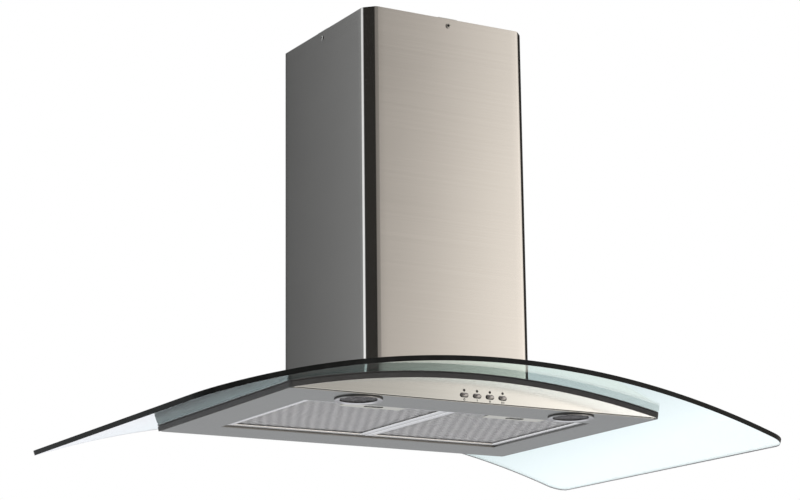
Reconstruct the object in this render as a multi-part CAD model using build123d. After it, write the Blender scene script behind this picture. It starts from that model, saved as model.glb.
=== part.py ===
"""Island range hood: an arched glass canopy on a shallow steel body, under a square chimney.

Every piece is drawn over the flat underside of the body (z = 0, +X to the right, +Y to the back)
and written with the ceiling plane at z = 0.
"""

import math
import os

from build123d import *

# Overall
hood_height = 560.0           # ceiling to the flat underside of the body
sheet = 1.0                   # steel sheet of the body and the chimney
running_gap = 0.3             # room left beside a piece that moves
touch_gap = 0.05              # room round a pin or shaft

# Glass canopy
glass_width = 900.0
glass_depth = 565.0
glass_thickness = 7.0
glass_radius = 1348.0         # underside of the arch
glass_corner = 25.0
cutout_margin = 6.0           # round the collar that passes through the glass
cutout_corner = 12.0

# Body under the glass
body_rise = 31.3              # height of the fascia at mid width
body_depth = 408.0
body_corner = 6.0             # rounding of the body's corners, seen from below
seal_height = 9.0
seal_width = 10.0
inner_seal_width = 12.0

# Filter bay in the underside, with its turned-up lip
bay_width = 450.0
bay_depth = 250.0
lip_height = 4.0

# Grease filters
filter_recess = 3.0           # face of the filters above the underside
filter_thickness = 7.5
filter_side_gap = 1.5
filter_rear_gap = 3.0
frame_wall = 0.8
frame_lip = 11.0
tab_width = 16.0
tab_reach = 8.0               # of the rear tabs behind the lip's edge
tab_thickness = 1.0
tab_spacing = 130.0

# Filter latches
handle_width = 92.0
handle_depth = 24.0
handle_thickness = 1.0
handle_setback = 5.5          # from the filter's front edge
handle_corner = 4.0
finger_slot_width = 28.0
latch_travel = 6.0
latch_width = 30.0
latch_thickness = 2.0
finger_pull = 3.0             # thickness of the finger tab
tongue_width = 20.0
tongue_thickness = 0.7
tongue_nose = 2.5
pocket_margin = 3.0

# Lamps
lamp_x = 167.0
lamp_y = -163.5
lamp_radius = 32.0
lamp_window = 25.0
lamp_neck = 28.0
bezel_drop = 2.5
bezel_wall = 1.2
lens_thickness = 2.0
cup_height = 12.5
cup_wall = 0.8
cup_roof_radius = 19.0
bulb_radius = 3.6
bulb_length = 17.0
socket_length = 13.0
socket_width = 11.0

# Push buttons
button_count = 4
button_pitch = 20.0
button_z = 9.2
button_width = 12.0
button_height = 5.8
button_proud = 3.0
button_dome = 2.0
button_travel = 2.5
button_flange = 1.3           # of the shoulder that keeps it behind the fascia
button_shoulder = 2.0
button_stem = 8.0
switch_margin = 6.0
switch_depth = 22.0
switch_height = 17.0
indicator_z = 15.7
indicator_radius = 1.5
indicator_proud = 0.6
indicator_length = 4.0

# Chimney
chimney_size = 261.0
chimney_chamfer = 14.6
chimney_bend = 3.0            # outer radius of the folds
chimney_top_gap = 1.0
chimney_foot_gap = 0.3
chimney_screw_drop = 10.5     # below the chimney's top edge
chimney_screw_radius = 1.9
chimney_screw_head = 3.6
chimney_screw_head_height = 2.0

# Fan box
fan_box_size = 216.0
fan_box_corner = 4.0
fan_box_wall = 1.0
fan_box_foot = 52.0
fan_box_top = 300.0
collar_top = 76.0             # of the body's square collar inside the fan box
deck_z = 250.0
box_screw_radius = 2.0
box_screw_head = 4.0
box_screw_head_height = 2.2
box_screw_spacing = 120.0
drill_depth = 30.0            # of the holes for screws and bolts, half to each side of their seat

# Glass clamps
clamp_width = 60.0
clamp_sheet = 2.0
clamp_rise = 40.0
clamp_reach = 15.0
clamp_edge = 0.5
clamp_screw_spacing = 36.0

# Blower
axis_y = -8.0
axis_z = 155.0
impeller_radius = 72.0
impeller_inner = 58.0
impeller_width = 104.0
impeller_ring = 3.0
impeller_disc = 1.5
blade_count = 30
blade_thickness = 1.0
blade_sweep = 6.0             # degrees that a blade leans forward
hub_radius = 12.0
hub_length = 20.0
scroll_gap = 8.0              # from the impeller to the first arc of the volute
scroll_step = 8.0             # growth of the volute in each quarter turn
scroll_sheet = 1.0
scroll_side_gap = 5.0
inlet_radius = 56.0
inlet_lip = 3.0

# Motor
shaft_radius = 4.0
motor_radius = 42.0
motor_length = 56.0
motor_cap = 8.0
motor_boss = 13.0
bracket_sheet = 2.0
bracket_rim = 6.0
bracket_arm = 12.0
bracket_reach = 68.0
capacitor_radius = 15.0
capacitor_height = 52.0
corner_seat = 86.0            # centre of what stands in the corners of the fan box's top

# Mains connection
terminal_size = 36.0
terminal_height = 48.0
gland_radius = 10.0
gland_height = 16.0
gland_bore = 4.0

# Duct collar and back-draught flaps
duct_radius = 75.0
duct_wall = 1.5
duct_height = 62.0
duct_flange = 9.0
flap_pin_radius = 2.0
flap_pin_height = 40.0        # above the fan box
flap_sleeve = 1.6
flap_thickness = 1.2
flap_edge_gap = 2.0
flap_stop = 4.0
knuckle_gap = 2.0

# Ceiling frame
plate_thickness = 2.0
duct_opening = 85.0           # radius
ceiling_hole_radius = 3.5
ceiling_hole_spacing = 184.0
frame_tab_width = 30.0
frame_tab_drop = 22.0
angle_leg = 22.0
angle_sheet = 2.0
upper_upright_length = 225.0
lower_upright_foot = 205.0
upright_overlap = 87.0        # of the upper uprights over the lower ones
bolt_radius = 2.5
bolt_head = 4.6
bolt_head_height = 3.2
bolt_grip = 3.0
lower_bolt_rise = 25.0        # of the lower bolts above the uprights' feet
upper_bolt_drop = 45.0        # of the upper bolts below the lower uprights' heads

# Sizes that follow from those above
glass_top_radius = glass_radius + glass_thickness
arch_radius = glass_radius - seal_height
arch_z = body_rise - arch_radius
body_half_width = math.sqrt(arch_radius ** 2 - arch_z ** 2)
body_angle = math.degrees(math.asin(body_half_width / arch_radius))
glass_angle = math.degrees(math.asin(glass_width / 2 / glass_top_radius))
body_front = -body_depth / 2
inner_depth = body_depth - 2 * sheet
collar_size = fan_box_size - 2 * fan_box_wall
collar_corner = fan_box_corner - fan_box_wall
cutout_size = fan_box_size + 2 * cutout_margin
chimney_top = hood_height - chimney_top_gap
chimney_inner = chimney_size - 2 * sheet
chimney_screw_z = chimney_top - chimney_screw_drop
filter_width = bay_width / 2 - 1.5 * filter_side_gap
filter_x = (filter_side_gap + filter_width) / 2
filter_front = -bay_depth / 2 + filter_side_gap
filter_rear = bay_depth / 2 - filter_rear_gap
filter_top = filter_recess + filter_thickness
finger_slot_depth = latch_travel + finger_pull + 2 * sheet
latch_z = filter_recess + frame_wall + running_gap
tongue_z = latch_z + latch_thickness
scroll_half_width = impeller_width / 2 + scroll_side_gap
scroll_radius = impeller_radius + scroll_gap
flap_pin_z = fan_box_top + flap_pin_height
upper_upright_foot = hood_height - plate_thickness - upper_upright_length
lower_upright_head = upper_upright_foot + upright_overlap
lower_angle_inner = fan_box_size / 2
upper_angle_inner = lower_angle_inner + angle_sheet


def block(x_range, y_range, z_range):
    size = [high - low for low, high in (x_range, y_range, z_range)]
    middle = [(high + low) / 2 for low, high in (x_range, y_range, z_range)]
    return Pos(*middle) * Box(*size)


def rod_x(radius, x_range, y=0.0, z=0.0):
    length = x_range[1] - x_range[0]
    return Pos((x_range[0] + x_range[1]) / 2, y, z) * Rot(0, 90, 0) * Cylinder(radius, length)


def rod_y(radius, y_range, x=0.0, z=0.0):
    length = y_range[1] - y_range[0]
    return Pos(x, (y_range[0] + y_range[1]) / 2, z) * Rot(90, 0, 0) * Cylinder(radius, length)


def rod_z(radius, z_range, x=0.0, y=0.0):
    length = z_range[1] - z_range[0]
    return Pos(x, y, (z_range[0] + z_range[1]) / 2) * Cylinder(radius, length)


def upright_prism(outline, z_range):
    return Pos(0, 0, z_range[0]) * extrude(outline, z_range[1] - z_range[0])


def drum(radius, depth=glass_depth * 2):
    # Solid of everything inside the arch of this radius
    return Pos(0, 0, arch_z) * Rot(90, 0, 0) * Cylinder(radius, depth)


def arched_plate(low_radius, high_radius, half_angle, depth):
    low = CenterArc((0, arch_z), low_radius, 90 - half_angle, 2 * half_angle)
    high = CenterArc((0, arch_z), high_radius, 90 - half_angle, 2 * half_angle)
    outline = low + high + Line(low @ 0, high @ 0) + Line(low @ 1, high @ 1)
    return extrude(Plane.XZ * make_face(outline), depth / 2, both=True)


def rounded_plate(low_radius, high_radius, half_angle, depth, corner):
    plate = arched_plate(low_radius, high_radius, half_angle, depth)
    rise = high_radius - low_radius
    return fillet([edge for edge in plate.edges() if abs(edge.length - rise) < touch_gap / 2], corner)


def square_ring(outer, inner, outer_corner, inner_corner):
    return RectangleRounded(outer, outer, outer_corner) - RectangleRounded(inner, inner, inner_corner)


def turned(profile, x=0.0, y=0.0, z=0.0):
    # Solid turned about an upright axis, from (radius, height) points
    face = make_face(Polyline(*profile, close=True))
    return Pos(x, y, z) * revolve(Plane.XZ * face, Axis.Z)


def outward_places(distance, spots):
    # Places on the four faces of a square, front face first, +Z outward; spots are (sideways, height)
    places = []
    for turn in range(4):
        for sideways, height in spots:
            places.append(Rot(0, 0, 90 * turn) * Pos(sideways, -distance, height) * Rot(90, 0, 0))
    return places


def front_and_rear(places):
    return places[0:2] + places[4:6]


def left_and_right(places):
    return places[2:4] + places[6:8]


def box_screw_places():
    height = (fan_box_foot + collar_top) / 2
    spots = [(-box_screw_spacing / 2, height), (box_screw_spacing / 2, height)]
    return left_and_right(outward_places(fan_box_size / 2, spots))


def clamp_screw_places():
    height = (collar_top + fan_box_foot + clamp_rise) / 2
    spots = [(-clamp_screw_spacing / 2, height), (clamp_screw_spacing / 2, height)]
    return front_and_rear(outward_places(fan_box_size / 2 + clamp_sheet, spots))


def bolt_spots(height):
    sideways = lower_angle_inner + angle_sheet - angle_leg / 2
    return [(-sideways, height), (sideways, height)]


def lower_bolt_places():
    spots = bolt_spots(lower_upright_foot + lower_bolt_rise)
    return front_and_rear(outward_places(lower_angle_inner + angle_sheet, spots))


def upper_bolt_places():
    spots = bolt_spots(lower_upright_head - upper_bolt_drop)
    return front_and_rear(outward_places(upper_angle_inner + angle_sheet, spots))


def chimney_screw_places():
    return outward_places(chimney_size / 2, [(0, chimney_screw_z)])


def drilled(piece, places, radius):
    for place in places:
        piece -= place * Cylinder(radius + touch_gap, drill_depth)
    return piece


def glass_canopy():
    plate = rounded_plate(glass_radius, glass_top_radius, glass_angle, glass_depth, glass_corner)
    hole = RectangleRounded(cutout_size, cutout_size, cutout_corner)
    return plate - upright_prism(hole, (0, fan_box_foot))


def glass_seal():
    strip = rounded_plate(arch_radius, glass_radius - touch_gap, body_angle, body_depth, body_corner)
    inside = Box(2 * (body_half_width - seal_width), body_depth - 2 * seal_width, hood_height)
    return strip - inside


def cutout_seal():
    strip = arched_plate(arch_radius, glass_radius - touch_gap, body_angle, body_depth)
    outer = cutout_size + 2 * inner_seal_width
    ring = square_ring(outer, cutout_size, cutout_corner + inner_seal_width, cutout_corner)
    return strip & upright_prism(ring, (0, fan_box_foot))


def body_plan(inset):
    # The body seen from below, drawn in by inset at the front and the back
    outline = RectangleRounded(2 * body_half_width, body_depth - 2 * inset, body_corner - inset)
    return upright_prism(outline, (0, fan_box_foot))


def fascia_blank(y_low):
    arc = CenterArc((0, arch_z), arch_radius, 90 - body_angle, 2 * body_angle)
    face = make_face(arc + Line(arc @ 0, arc @ 1))
    blank = Pos(0, y_low + sheet / 2, 0) * extrude(Plane.XZ * face, sheet / 2, both=True)
    return blank & body_plan(0)


def button_x(index):
    return (index - (button_count - 1) / 2) * button_pitch


def button_prism(width, height, x, y_range):
    outline = Plane((x, y_range[0], button_z), x_dir=(1, 0, 0), z_dir=(0, 1, 0))
    return extrude(outline * SlotOverall(width, height), y_range[1] - y_range[0])


def front_fascia():
    panel = fascia_blank(body_front)
    through = (body_front - sheet, body_front + 2 * sheet)
    for index in range(button_count):
        x = button_x(index)
        panel -= button_prism(button_width + 2 * running_gap, button_height + 2 * running_gap, x, through)
        panel -= rod_y(indicator_radius + touch_gap, through, x, indicator_z)
    return panel


def rear_fascia():
    return fascia_blank(-body_front - sheet)


def bottom_panel():
    floor = block((-body_half_width, body_half_width), (-body_depth, body_depth), (0, sheet))
    panel = floor & body_plan(sheet) & drum(arch_radius)
    lip = Rectangle(bay_width + 2 * sheet, bay_depth + 2 * sheet)
    panel += upright_prism(lip, (0, lip_height))
    panel -= upright_prism(Rectangle(bay_width, bay_depth), (-sheet, lip_height + sheet))
    for side in (-1, 1):
        panel -= rod_z(lamp_neck + touch_gap, (-sheet, 2 * sheet), side * lamp_x, lamp_y)
    return panel


def top_panel():
    arch = arched_plate(arch_radius - sheet, arch_radius, body_angle, inner_depth)
    above = block((-body_half_width, body_half_width), (-inner_depth, inner_depth), (sheet, hood_height))
    arch = arch & above & body_plan(sheet)
    hole = RectangleRounded(collar_size - 2 * sheet, collar_size - 2 * sheet, collar_corner - sheet)
    arch -= upright_prism(hole, (0, collar_top))
    collar = square_ring(collar_size, collar_size - 2 * sheet, collar_corner, collar_corner - sheet)
    panel = arch + (upright_prism(collar, (0, collar_top)) - drum(arch_radius - sheet))
    return drilled(panel, box_screw_places(), box_screw_radius)


def fan_box():
    ring = square_ring(fan_box_size, collar_size, fan_box_corner, collar_corner)
    box = upright_prism(ring, (fan_box_foot, fan_box_top))
    lid = RectangleRounded(fan_box_size, fan_box_size, fan_box_corner)
    box += upright_prism(lid, (fan_box_top - fan_box_wall, fan_box_top))
    box -= rod_z(duct_radius - duct_wall, (fan_box_top - 2 * fan_box_wall, fan_box_top + fan_box_wall))
    box = drilled(box, box_screw_places() + clamp_screw_places(), box_screw_radius)
    return drilled(box, lower_bolt_places(), bolt_radius)


def hex_bolt(radius, grip, head_radius, head_height):
    # Head outward along +Z, its seat at z = 0
    head = extrude(RegularPolygon(head_radius, 6), head_height)
    return head + Cylinder(radius, grip, align=(Align.CENTER, Align.CENTER, Align.MAX))


def pan_screw(radius, grip, head_radius, head_height):
    head = Cone(head_radius, head_radius - head_height / 2, head_height,
                align=(Align.CENTER, Align.CENTER, Align.MIN))
    return head + Cylinder(radius, grip, align=(Align.CENTER, Align.CENTER, Align.MAX))


def fan_box_screws():
    wall = fan_box_wall + 2 * sheet
    screw = hex_bolt(box_screw_radius, wall, box_screw_head, box_screw_head_height)
    long_screw = hex_bolt(box_screw_radius, wall + clamp_sheet, box_screw_head, box_screw_head_height)
    screws = [place * screw for place in box_screw_places()]
    return screws + [place * long_screw for place in clamp_screw_places()]


def glass_clamp(side):
    wall = fan_box_size / 2
    half = clamp_width / 2
    upstand = block((-half, half), (wall, wall + clamp_sheet), (fan_box_foot, fan_box_foot + clamp_rise))
    reach = wall + clamp_sheet + clamp_reach
    foot = block((-half, half), (wall, reach), (fan_box_foot, fan_box_foot + clamp_sheet))
    clamp = upstand + foot
    if side < 0:
        clamp = Rot(0, 0, 180) * clamp
    return drilled(clamp, clamp_screw_places(), box_screw_radius)


def clamp_pads():
    near = cutout_size / 2 + clamp_edge
    far = fan_box_size / 2 + clamp_sheet + clamp_reach
    half = clamp_width / 2
    pad = block((-half, half), (near, far), (0, fan_box_foot)) - drum(glass_top_radius)
    return [pad, Rot(0, 0, 180) * pad]


def switch_block():
    half = button_x(button_count - 1) + button_width / 2 + switch_margin
    back = body_front + sheet
    housing = block((-half, half), (back, back + switch_depth), (sheet, sheet + switch_height))
    room = 2 * running_gap
    well = (back - sheet, back + button_shoulder + button_stem + button_travel + room)
    for index in range(button_count):
        x = button_x(index)
        wide = 2 * button_flange + room
        housing -= button_prism(button_width + wide, button_height + wide, x, well)
        depth = body_front + indicator_length
        housing -= rod_y(indicator_radius + touch_gap, (back - sheet, depth), x, indicator_z)
    return housing


def push_button(index):
    x = button_x(index)
    back = body_front + sheet + running_gap
    front = body_front - button_proud
    cap = button_prism(button_width, button_height, x, (front, back + button_shoulder + button_stem))
    rim = [edge for edge in cap.edges() if abs(edge.center().Y - front) < touch_gap]
    cap = chamfer(rim, button_dome)
    wide = 2 * button_flange
    shoulder = (back, back + button_shoulder)
    return cap + button_prism(button_width + wide, button_height + wide, x, shoulder)


def indicator_lenses():
    lenses = []
    for index in range(button_count):
        ends = (body_front - indicator_proud, body_front + indicator_length)
        lenses.append(rod_y(indicator_radius, ends, button_x(index), indicator_z))
    return lenses


def lamp_bezel(side):
    bevel = bezel_drop * 0.6
    neck_inner = lamp_neck - bezel_wall
    profile = [
        (lamp_window, -bezel_drop),
        (lamp_radius - bevel, -bezel_drop),
        (lamp_radius, bevel - bezel_drop),
        (lamp_radius, 0),
        (lamp_neck, 0),
        (lamp_neck, lip_height),
        (neck_inner, lip_height),
        (neck_inner, bezel_wall - bezel_drop),
        (lamp_window, bezel_wall - bezel_drop),
    ]
    return turned(profile, side * lamp_x, lamp_y)


def lamp_lens(side):
    low = bezel_wall - bezel_drop
    radius = lamp_neck - bezel_wall - touch_gap
    return rod_z(radius, (low, low + lens_thickness), side * lamp_x, lamp_y)


def lamp_reflector(side):
    top = lip_height + cup_height - bezel_drop - bezel_wall
    rim = lamp_neck - bezel_wall
    profile = [
        (0, top),
        (cup_roof_radius, top),
        (rim, lip_height + cup_wall),
        (lamp_neck + bezel_wall, lip_height + cup_wall),
        (lamp_neck + bezel_wall, lip_height),
        (rim - cup_wall, lip_height),
        (cup_roof_radius - cup_wall / 2, top - cup_wall),
        (0, top - cup_wall),
    ]
    return turned(profile, side * lamp_x, lamp_y)


def lamp_bulb(side):
    roof = lip_height + cup_height - bezel_drop - bezel_wall - cup_wall
    foot = roof - 2 * bulb_radius - cup_wall
    half = socket_width / 2
    joint = socket_length - cup_roof_radius + 2 * cup_wall
    socket = block((joint - socket_length, joint), (-half, half), (foot, roof))
    middle = (foot + roof) / 2
    capsule = rod_x(bulb_radius, (joint, joint + bulb_length), 0, middle)
    capsule = chamfer(capsule.edges().sort_by(Axis.X)[-1], bulb_radius * 0.6)
    return Pos(side * lamp_x, lamp_y, 0) * (socket + capsule)


def filter_block(side, inset, z_range):
    half = filter_width / 2 - inset
    x_range = (side * filter_x - half, side * filter_x + half)
    return block(x_range, (filter_front + inset, filter_rear - inset), z_range)


def filter_span(side, width):
    return (side * filter_x - width / 2, side * filter_x + width / 2)


def latch_pocket(side):
    width = latch_width + 2 * pocket_margin
    rear = filter_front + handle_setback + handle_depth - pocket_margin
    return block(filter_span(side, width), (filter_front - sheet, rear), (0, hood_height))


def filter_frame(side):
    low = filter_recess + frame_wall
    high = filter_top - frame_wall
    frame = filter_block(side, 0, (filter_recess, filter_top))
    frame -= filter_block(side, frame_wall, (low, high))
    frame -= filter_block(side, frame_lip, (0, hood_height))
    tab_z = (lip_height + running_gap, lip_height + running_gap + tab_thickness)
    for offset in (-tab_spacing / 2, tab_spacing / 2):
        x = side * filter_x + offset
        tab_y = (filter_rear - frame_wall, bay_depth / 2 + tab_reach)
        frame += block((x - tab_width / 2, x + tab_width / 2), tab_y, tab_z)
    slot = filter_span(side, tongue_width + 4 * running_gap)
    slot_top = tongue_z + tongue_thickness + running_gap
    return frame - block(slot, (filter_front - sheet, filter_front + 2 * frame_wall), (low, slot_top))


def filter_mesh(side):
    low = filter_recess + frame_wall
    high = filter_top - frame_wall
    return filter_block(side, frame_wall, (low, high)) - latch_pocket(side)


def filter_handle(side):
    low = filter_recess - handle_thickness
    middle = filter_front + handle_setback + handle_depth / 2
    outline = RectangleRounded(handle_width, handle_depth, handle_corner)
    outline -= SlotOverall(finger_slot_width, finger_slot_depth)
    plate = Pos(side * filter_x, middle, 0) * upright_prism(outline, (low, filter_recess))
    inner = latch_width + 2 * running_gap
    outer = latch_width + 2 * pocket_margin
    guide_top = tongue_z + tongue_thickness + running_gap + frame_wall
    guide_rear = filter_front + handle_setback + handle_depth - pocket_margin
    guide_y = (filter_front + frame_lip + running_gap, guide_rear)
    guide = block(filter_span(side, outer), guide_y, (filter_recess, guide_top))
    roof = guide_top - frame_wall
    return plate + (guide - block(filter_span(side, inner), (filter_front, 0), (0, roof)))


def filter_latch(side):
    slot_front = filter_front + handle_setback + (handle_depth - finger_slot_depth) / 2
    pull_front = slot_front + sheet
    pull_y = (pull_front, pull_front + finger_pull)
    plate_y = (filter_front + frame_wall + running_gap, pull_y[1] + finger_pull)
    plate = block(filter_span(side, latch_width), plate_y, (latch_z, tongue_z))
    width = finger_slot_width - finger_slot_depth
    pull_z = (filter_recess - handle_thickness + running_gap, latch_z)
    return plate + block(filter_span(side, width), pull_y, pull_z)


def latch_tongue(side):
    front = -bay_depth / 2 - tongue_nose
    back = filter_front + handle_setback + handle_depth / 2
    top = tongue_z + tongue_thickness
    leaf = block(filter_span(side, tongue_width), (front, back), (tongue_z, top))
    nose_z = (lip_height + running_gap, tongue_z)
    nose = block(filter_span(side, tongue_width), (front, front + tongue_nose + sheet), nose_z)
    return leaf + nose


def chimney_outline(size, leg, bend):
    outline = Rectangle(size, size)
    outline = chamfer(outline.vertices(), leg)
    return fillet(outline.vertices(), bend)


def chimney_cover():
    inner_leg = chimney_chamfer - sheet * (2 - math.sqrt(2))
    outline = chimney_outline(chimney_size, chimney_chamfer, chimney_bend)
    outline -= chimney_outline(chimney_inner, inner_leg, chimney_bend - sheet)
    cover = upright_prism(outline, (0, chimney_top)) - drum(glass_top_radius + chimney_foot_gap)
    return drilled(cover, chimney_screw_places(), chimney_screw_radius)


def chimney_screws():
    grip = sheet + 2 * plate_thickness
    screw = pan_screw(chimney_screw_radius, grip, chimney_screw_head, chimney_screw_head_height)
    return [place * screw for place in chimney_screw_places()]


def angle(inner, z_range):
    # Angle upright round the rear right corner
    outer = inner + angle_sheet
    near = outer - angle_leg
    x_leg = block((inner, outer), (near, outer), z_range)
    return x_leg + block((near, outer), (inner, outer), z_range)


def lower_upright(turn):
    upright = angle(lower_angle_inner, (lower_upright_foot, lower_upright_head))
    upright = Rot(0, 0, turn) * upright
    return drilled(upright, lower_bolt_places() + upper_bolt_places(), bolt_radius)


def ceiling_frame():
    under = hood_height - plate_thickness
    edge = upper_angle_inner + angle_sheet
    frame = block((-edge, edge), (-edge, edge), (under, hood_height))
    half = frame_tab_width / 2
    face = chimney_inner / 2
    shelf = block((-half, half), (-face, -edge), (under, hood_height))
    drop = (hood_height - frame_tab_drop, hood_height)
    tab = shelf + block((-half, half), (-face, plate_thickness - face), drop)
    post = angle(upper_angle_inner, (upper_upright_foot, under))
    for turn in range(4):
        frame += Rot(0, 0, 90 * turn) * tab
        frame += Rot(0, 0, 90 * turn) * post
    frame -= rod_z(duct_opening, (under - sheet, hood_height + sheet))
    for spot in GridLocations(ceiling_hole_spacing, ceiling_hole_spacing, 2, 2):
        frame -= spot * rod_z(ceiling_hole_radius, (under - sheet, hood_height + sheet))
    frame = drilled(frame, chimney_screw_places(), chimney_screw_radius)
    return drilled(frame, upper_bolt_places(), bolt_radius)


def frame_bolts():
    lower_grip = angle_sheet + fan_box_wall + bolt_grip
    upper_grip = 2 * angle_sheet + bolt_grip
    lower = hex_bolt(bolt_radius, lower_grip, bolt_head, bolt_head_height)
    upper = hex_bolt(bolt_radius, upper_grip, bolt_head, bolt_head_height)
    bolts = [place * lower for place in lower_bolt_places()]
    return bolts + [place * upper for place in upper_bolt_places()]


def volute():
    # Three quarter arcs on the corners of a square, each one step larger, then the straight outlet
    step = scroll_step
    outlet = deck_z - axis_z
    first = CenterArc((-step / 2, -step / 2), scroll_radius, 90, 90)
    second = CenterArc((step / 2, -step / 2), scroll_radius + step, 180, 90)
    third = CenterArc((step / 2, step / 2), scroll_radius + 2 * step, 270, 90)
    wall = (third @ 1).X
    tongue = (first @ 0).X
    outline = first + second + third
    outline += Polyline(third @ 1, (wall, outlet), (tongue, outlet), first @ 0)
    return make_face(outline)


def volute_shell():
    outer = offset(volute(), scroll_sheet, kind=Kind.INTERSECTION)
    size = 4 * scroll_radius
    above = Pos(0, deck_z - axis_z + size / 2) * Rectangle(size, size)
    return outer - above


def blower_prism(outline, x_range):
    plane = Plane((x_range[0], axis_y, axis_z), x_dir=(0, 1, 0), z_dir=(1, 0, 0))
    return extrude(plane * outline, x_range[1] - x_range[0])


def scroll_wrap():
    return blower_prism(volute_shell() - volute(), (-scroll_half_width, scroll_half_width))


def scroll_side(side):
    inner = scroll_half_width
    outer = scroll_half_width + scroll_sheet
    plate = blower_prism(volute_shell() - Circle(inlet_radius), (inner, outer))
    lip = Circle(inlet_radius + scroll_sheet) - Circle(inlet_radius)
    plate += blower_prism(lip, (inner - inlet_lip, outer))
    if side < 0:
        plate = mirror(plate, Plane.YZ)
    return plate


def outlet_deck():
    plate = RectangleRounded(collar_size, collar_size, collar_corner)
    deck = upright_prism(plate, (deck_z, deck_z + scroll_sheet))
    wall = volute().bounding_box().max.X
    tongue = -scroll_step / 2
    y_range = (axis_y + tongue, axis_y + wall)
    return deck - block((-scroll_half_width, scroll_half_width), y_range, (0, hood_height))


def polar(radius, degrees):
    return (radius * math.cos(math.radians(degrees)), radius * math.sin(math.radians(degrees)))


def impeller():
    tip = impeller_radius - blade_thickness / 2
    middle = (impeller_inner + tip) / 2
    bow = blade_sweep * 0.3
    lean = math.degrees(blade_thickness / middle)
    curve = [(impeller_inner, 0), (middle, bow), (tip, blade_sweep)]
    hollow = [polar(radius, turn) for radius, turn in curve]
    back = [polar(radius, turn + lean) for radius, turn in reversed(curve)]
    blade = make_face(Polyline(*hollow, *back, close=True))
    half = impeller_width / 2
    wheel = rod_x(hub_radius, (-hub_length / 2, hub_length / 2), axis_y, axis_z)
    wheel += rod_x(middle, (-impeller_disc / 2, impeller_disc / 2), axis_y, axis_z)
    rim = Circle(impeller_radius) - Circle(middle)
    wheel += blower_prism(rim, (-half, impeller_ring - half))
    wheel += blower_prism(rim, (half - impeller_ring, half))
    span = half - impeller_ring
    for index in range(blade_count):
        wheel += blower_prism(Rot(0, 0, index * 360 / blade_count) * blade, (-span, span))
    return wheel - rod_x(shaft_radius + touch_gap, (-impeller_width, impeller_width), axis_y, axis_z)


def motor_span():
    start = hub_length / 2 + inlet_lip
    return (start, start + motor_length)


def motor_body():
    start, end = motor_span()
    bore = shaft_radius + touch_gap
    shoulder = motor_radius - motor_cap
    profile = [
        (bore, start),
        (motor_boss, start),
        (motor_boss, start + motor_cap / 2),
        (shoulder, start + motor_cap / 2),
        (motor_radius, start + motor_cap),
        (motor_radius, end - motor_cap),
        (shoulder, end),
        (bore, end),
    ]
    return Pos(0, axis_y, axis_z) * Rot(0, 90, 0) * turned(profile)


def motor_shaft():
    return rod_x(shaft_radius, (-hub_length / 2 - inlet_lip, motor_span()[1] + inlet_lip), axis_y, axis_z)


def motor_bracket():
    start = scroll_half_width + scroll_sheet
    outline = Circle(motor_radius + touch_gap + bracket_rim)
    for index in range(3):
        arm = Pos(bracket_reach / 2, 0) * Rectangle(bracket_reach, bracket_arm)
        outline += Rot(0, 0, 120 * index + 90) * arm
    outline -= Circle(motor_radius + touch_gap)
    return blower_prism(outline, (start, start + bracket_sheet))


def motor_capacitor():
    rim = capacitor_radius - sheet
    top = capacitor_height
    profile = [(0, 0), (capacitor_radius, 0), (capacitor_radius, top)]
    profile += [(rim, top), (rim, top - sheet), (0, top - sheet)]
    can = turned(profile)
    for x in (-capacitor_radius / 3, capacitor_radius / 3):
        can += block((x - sheet / 2, x + sheet / 2), (-2 * sheet, 2 * sheet), (top - sheet, top + 6 * sheet))
    return Pos(-corner_seat, corner_seat, fan_box_top) * can


def terminal_box():
    half = terminal_size / 2
    base = block((-half, half), (-half, half), (0, terminal_height))
    edge = (-half - sheet, half + sheet)
    lid = block(edge, edge, (terminal_height * 0.75, terminal_height))
    box = fillet((base + lid).edges().filter_by(Axis.Z), sheet * 0.9)
    return Pos(corner_seat, corner_seat, fan_box_top) * box


def cable_gland():
    base = extrude(RegularPolygon(gland_radius, 6), gland_height * 0.4)
    dome = rod_z(gland_radius * 0.8, (gland_height * 0.4, gland_height))
    dome = chamfer(dome.edges().sort_by(Axis.Z)[-1], sheet)
    gland = base + dome - rod_z(gland_bore, (0, 2 * gland_height))
    return Pos(corner_seat, corner_seat, fan_box_top + terminal_height) * gland


def outlet_collar():
    bore = duct_radius - duct_wall
    z_range = (fan_box_top, fan_box_top + duct_height)
    collar = rod_z(duct_radius, z_range)
    collar += rod_z(duct_radius + duct_flange, (fan_box_top, fan_box_top + duct_wall))
    collar -= rod_z(bore, (0, hood_height))
    stop_top = flap_pin_z - flap_thickness / 2 - running_gap
    stop_z = (stop_top - flap_stop / 2, stop_top)
    stop = block((-flap_stop, flap_stop), (bore - flap_stop, duct_radius), stop_z)
    stop = stop & rod_z(duct_radius, z_range)
    collar += stop + Rot(0, 0, 180) * stop
    return collar - rod_x(flap_pin_radius + touch_gap, (-hood_height, hood_height), 0, flap_pin_z)


def damper_pin():
    return rod_x(flap_pin_radius, (-duct_radius + duct_wall / 2, duct_radius - duct_wall / 2), 0, flap_pin_z)


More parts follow.
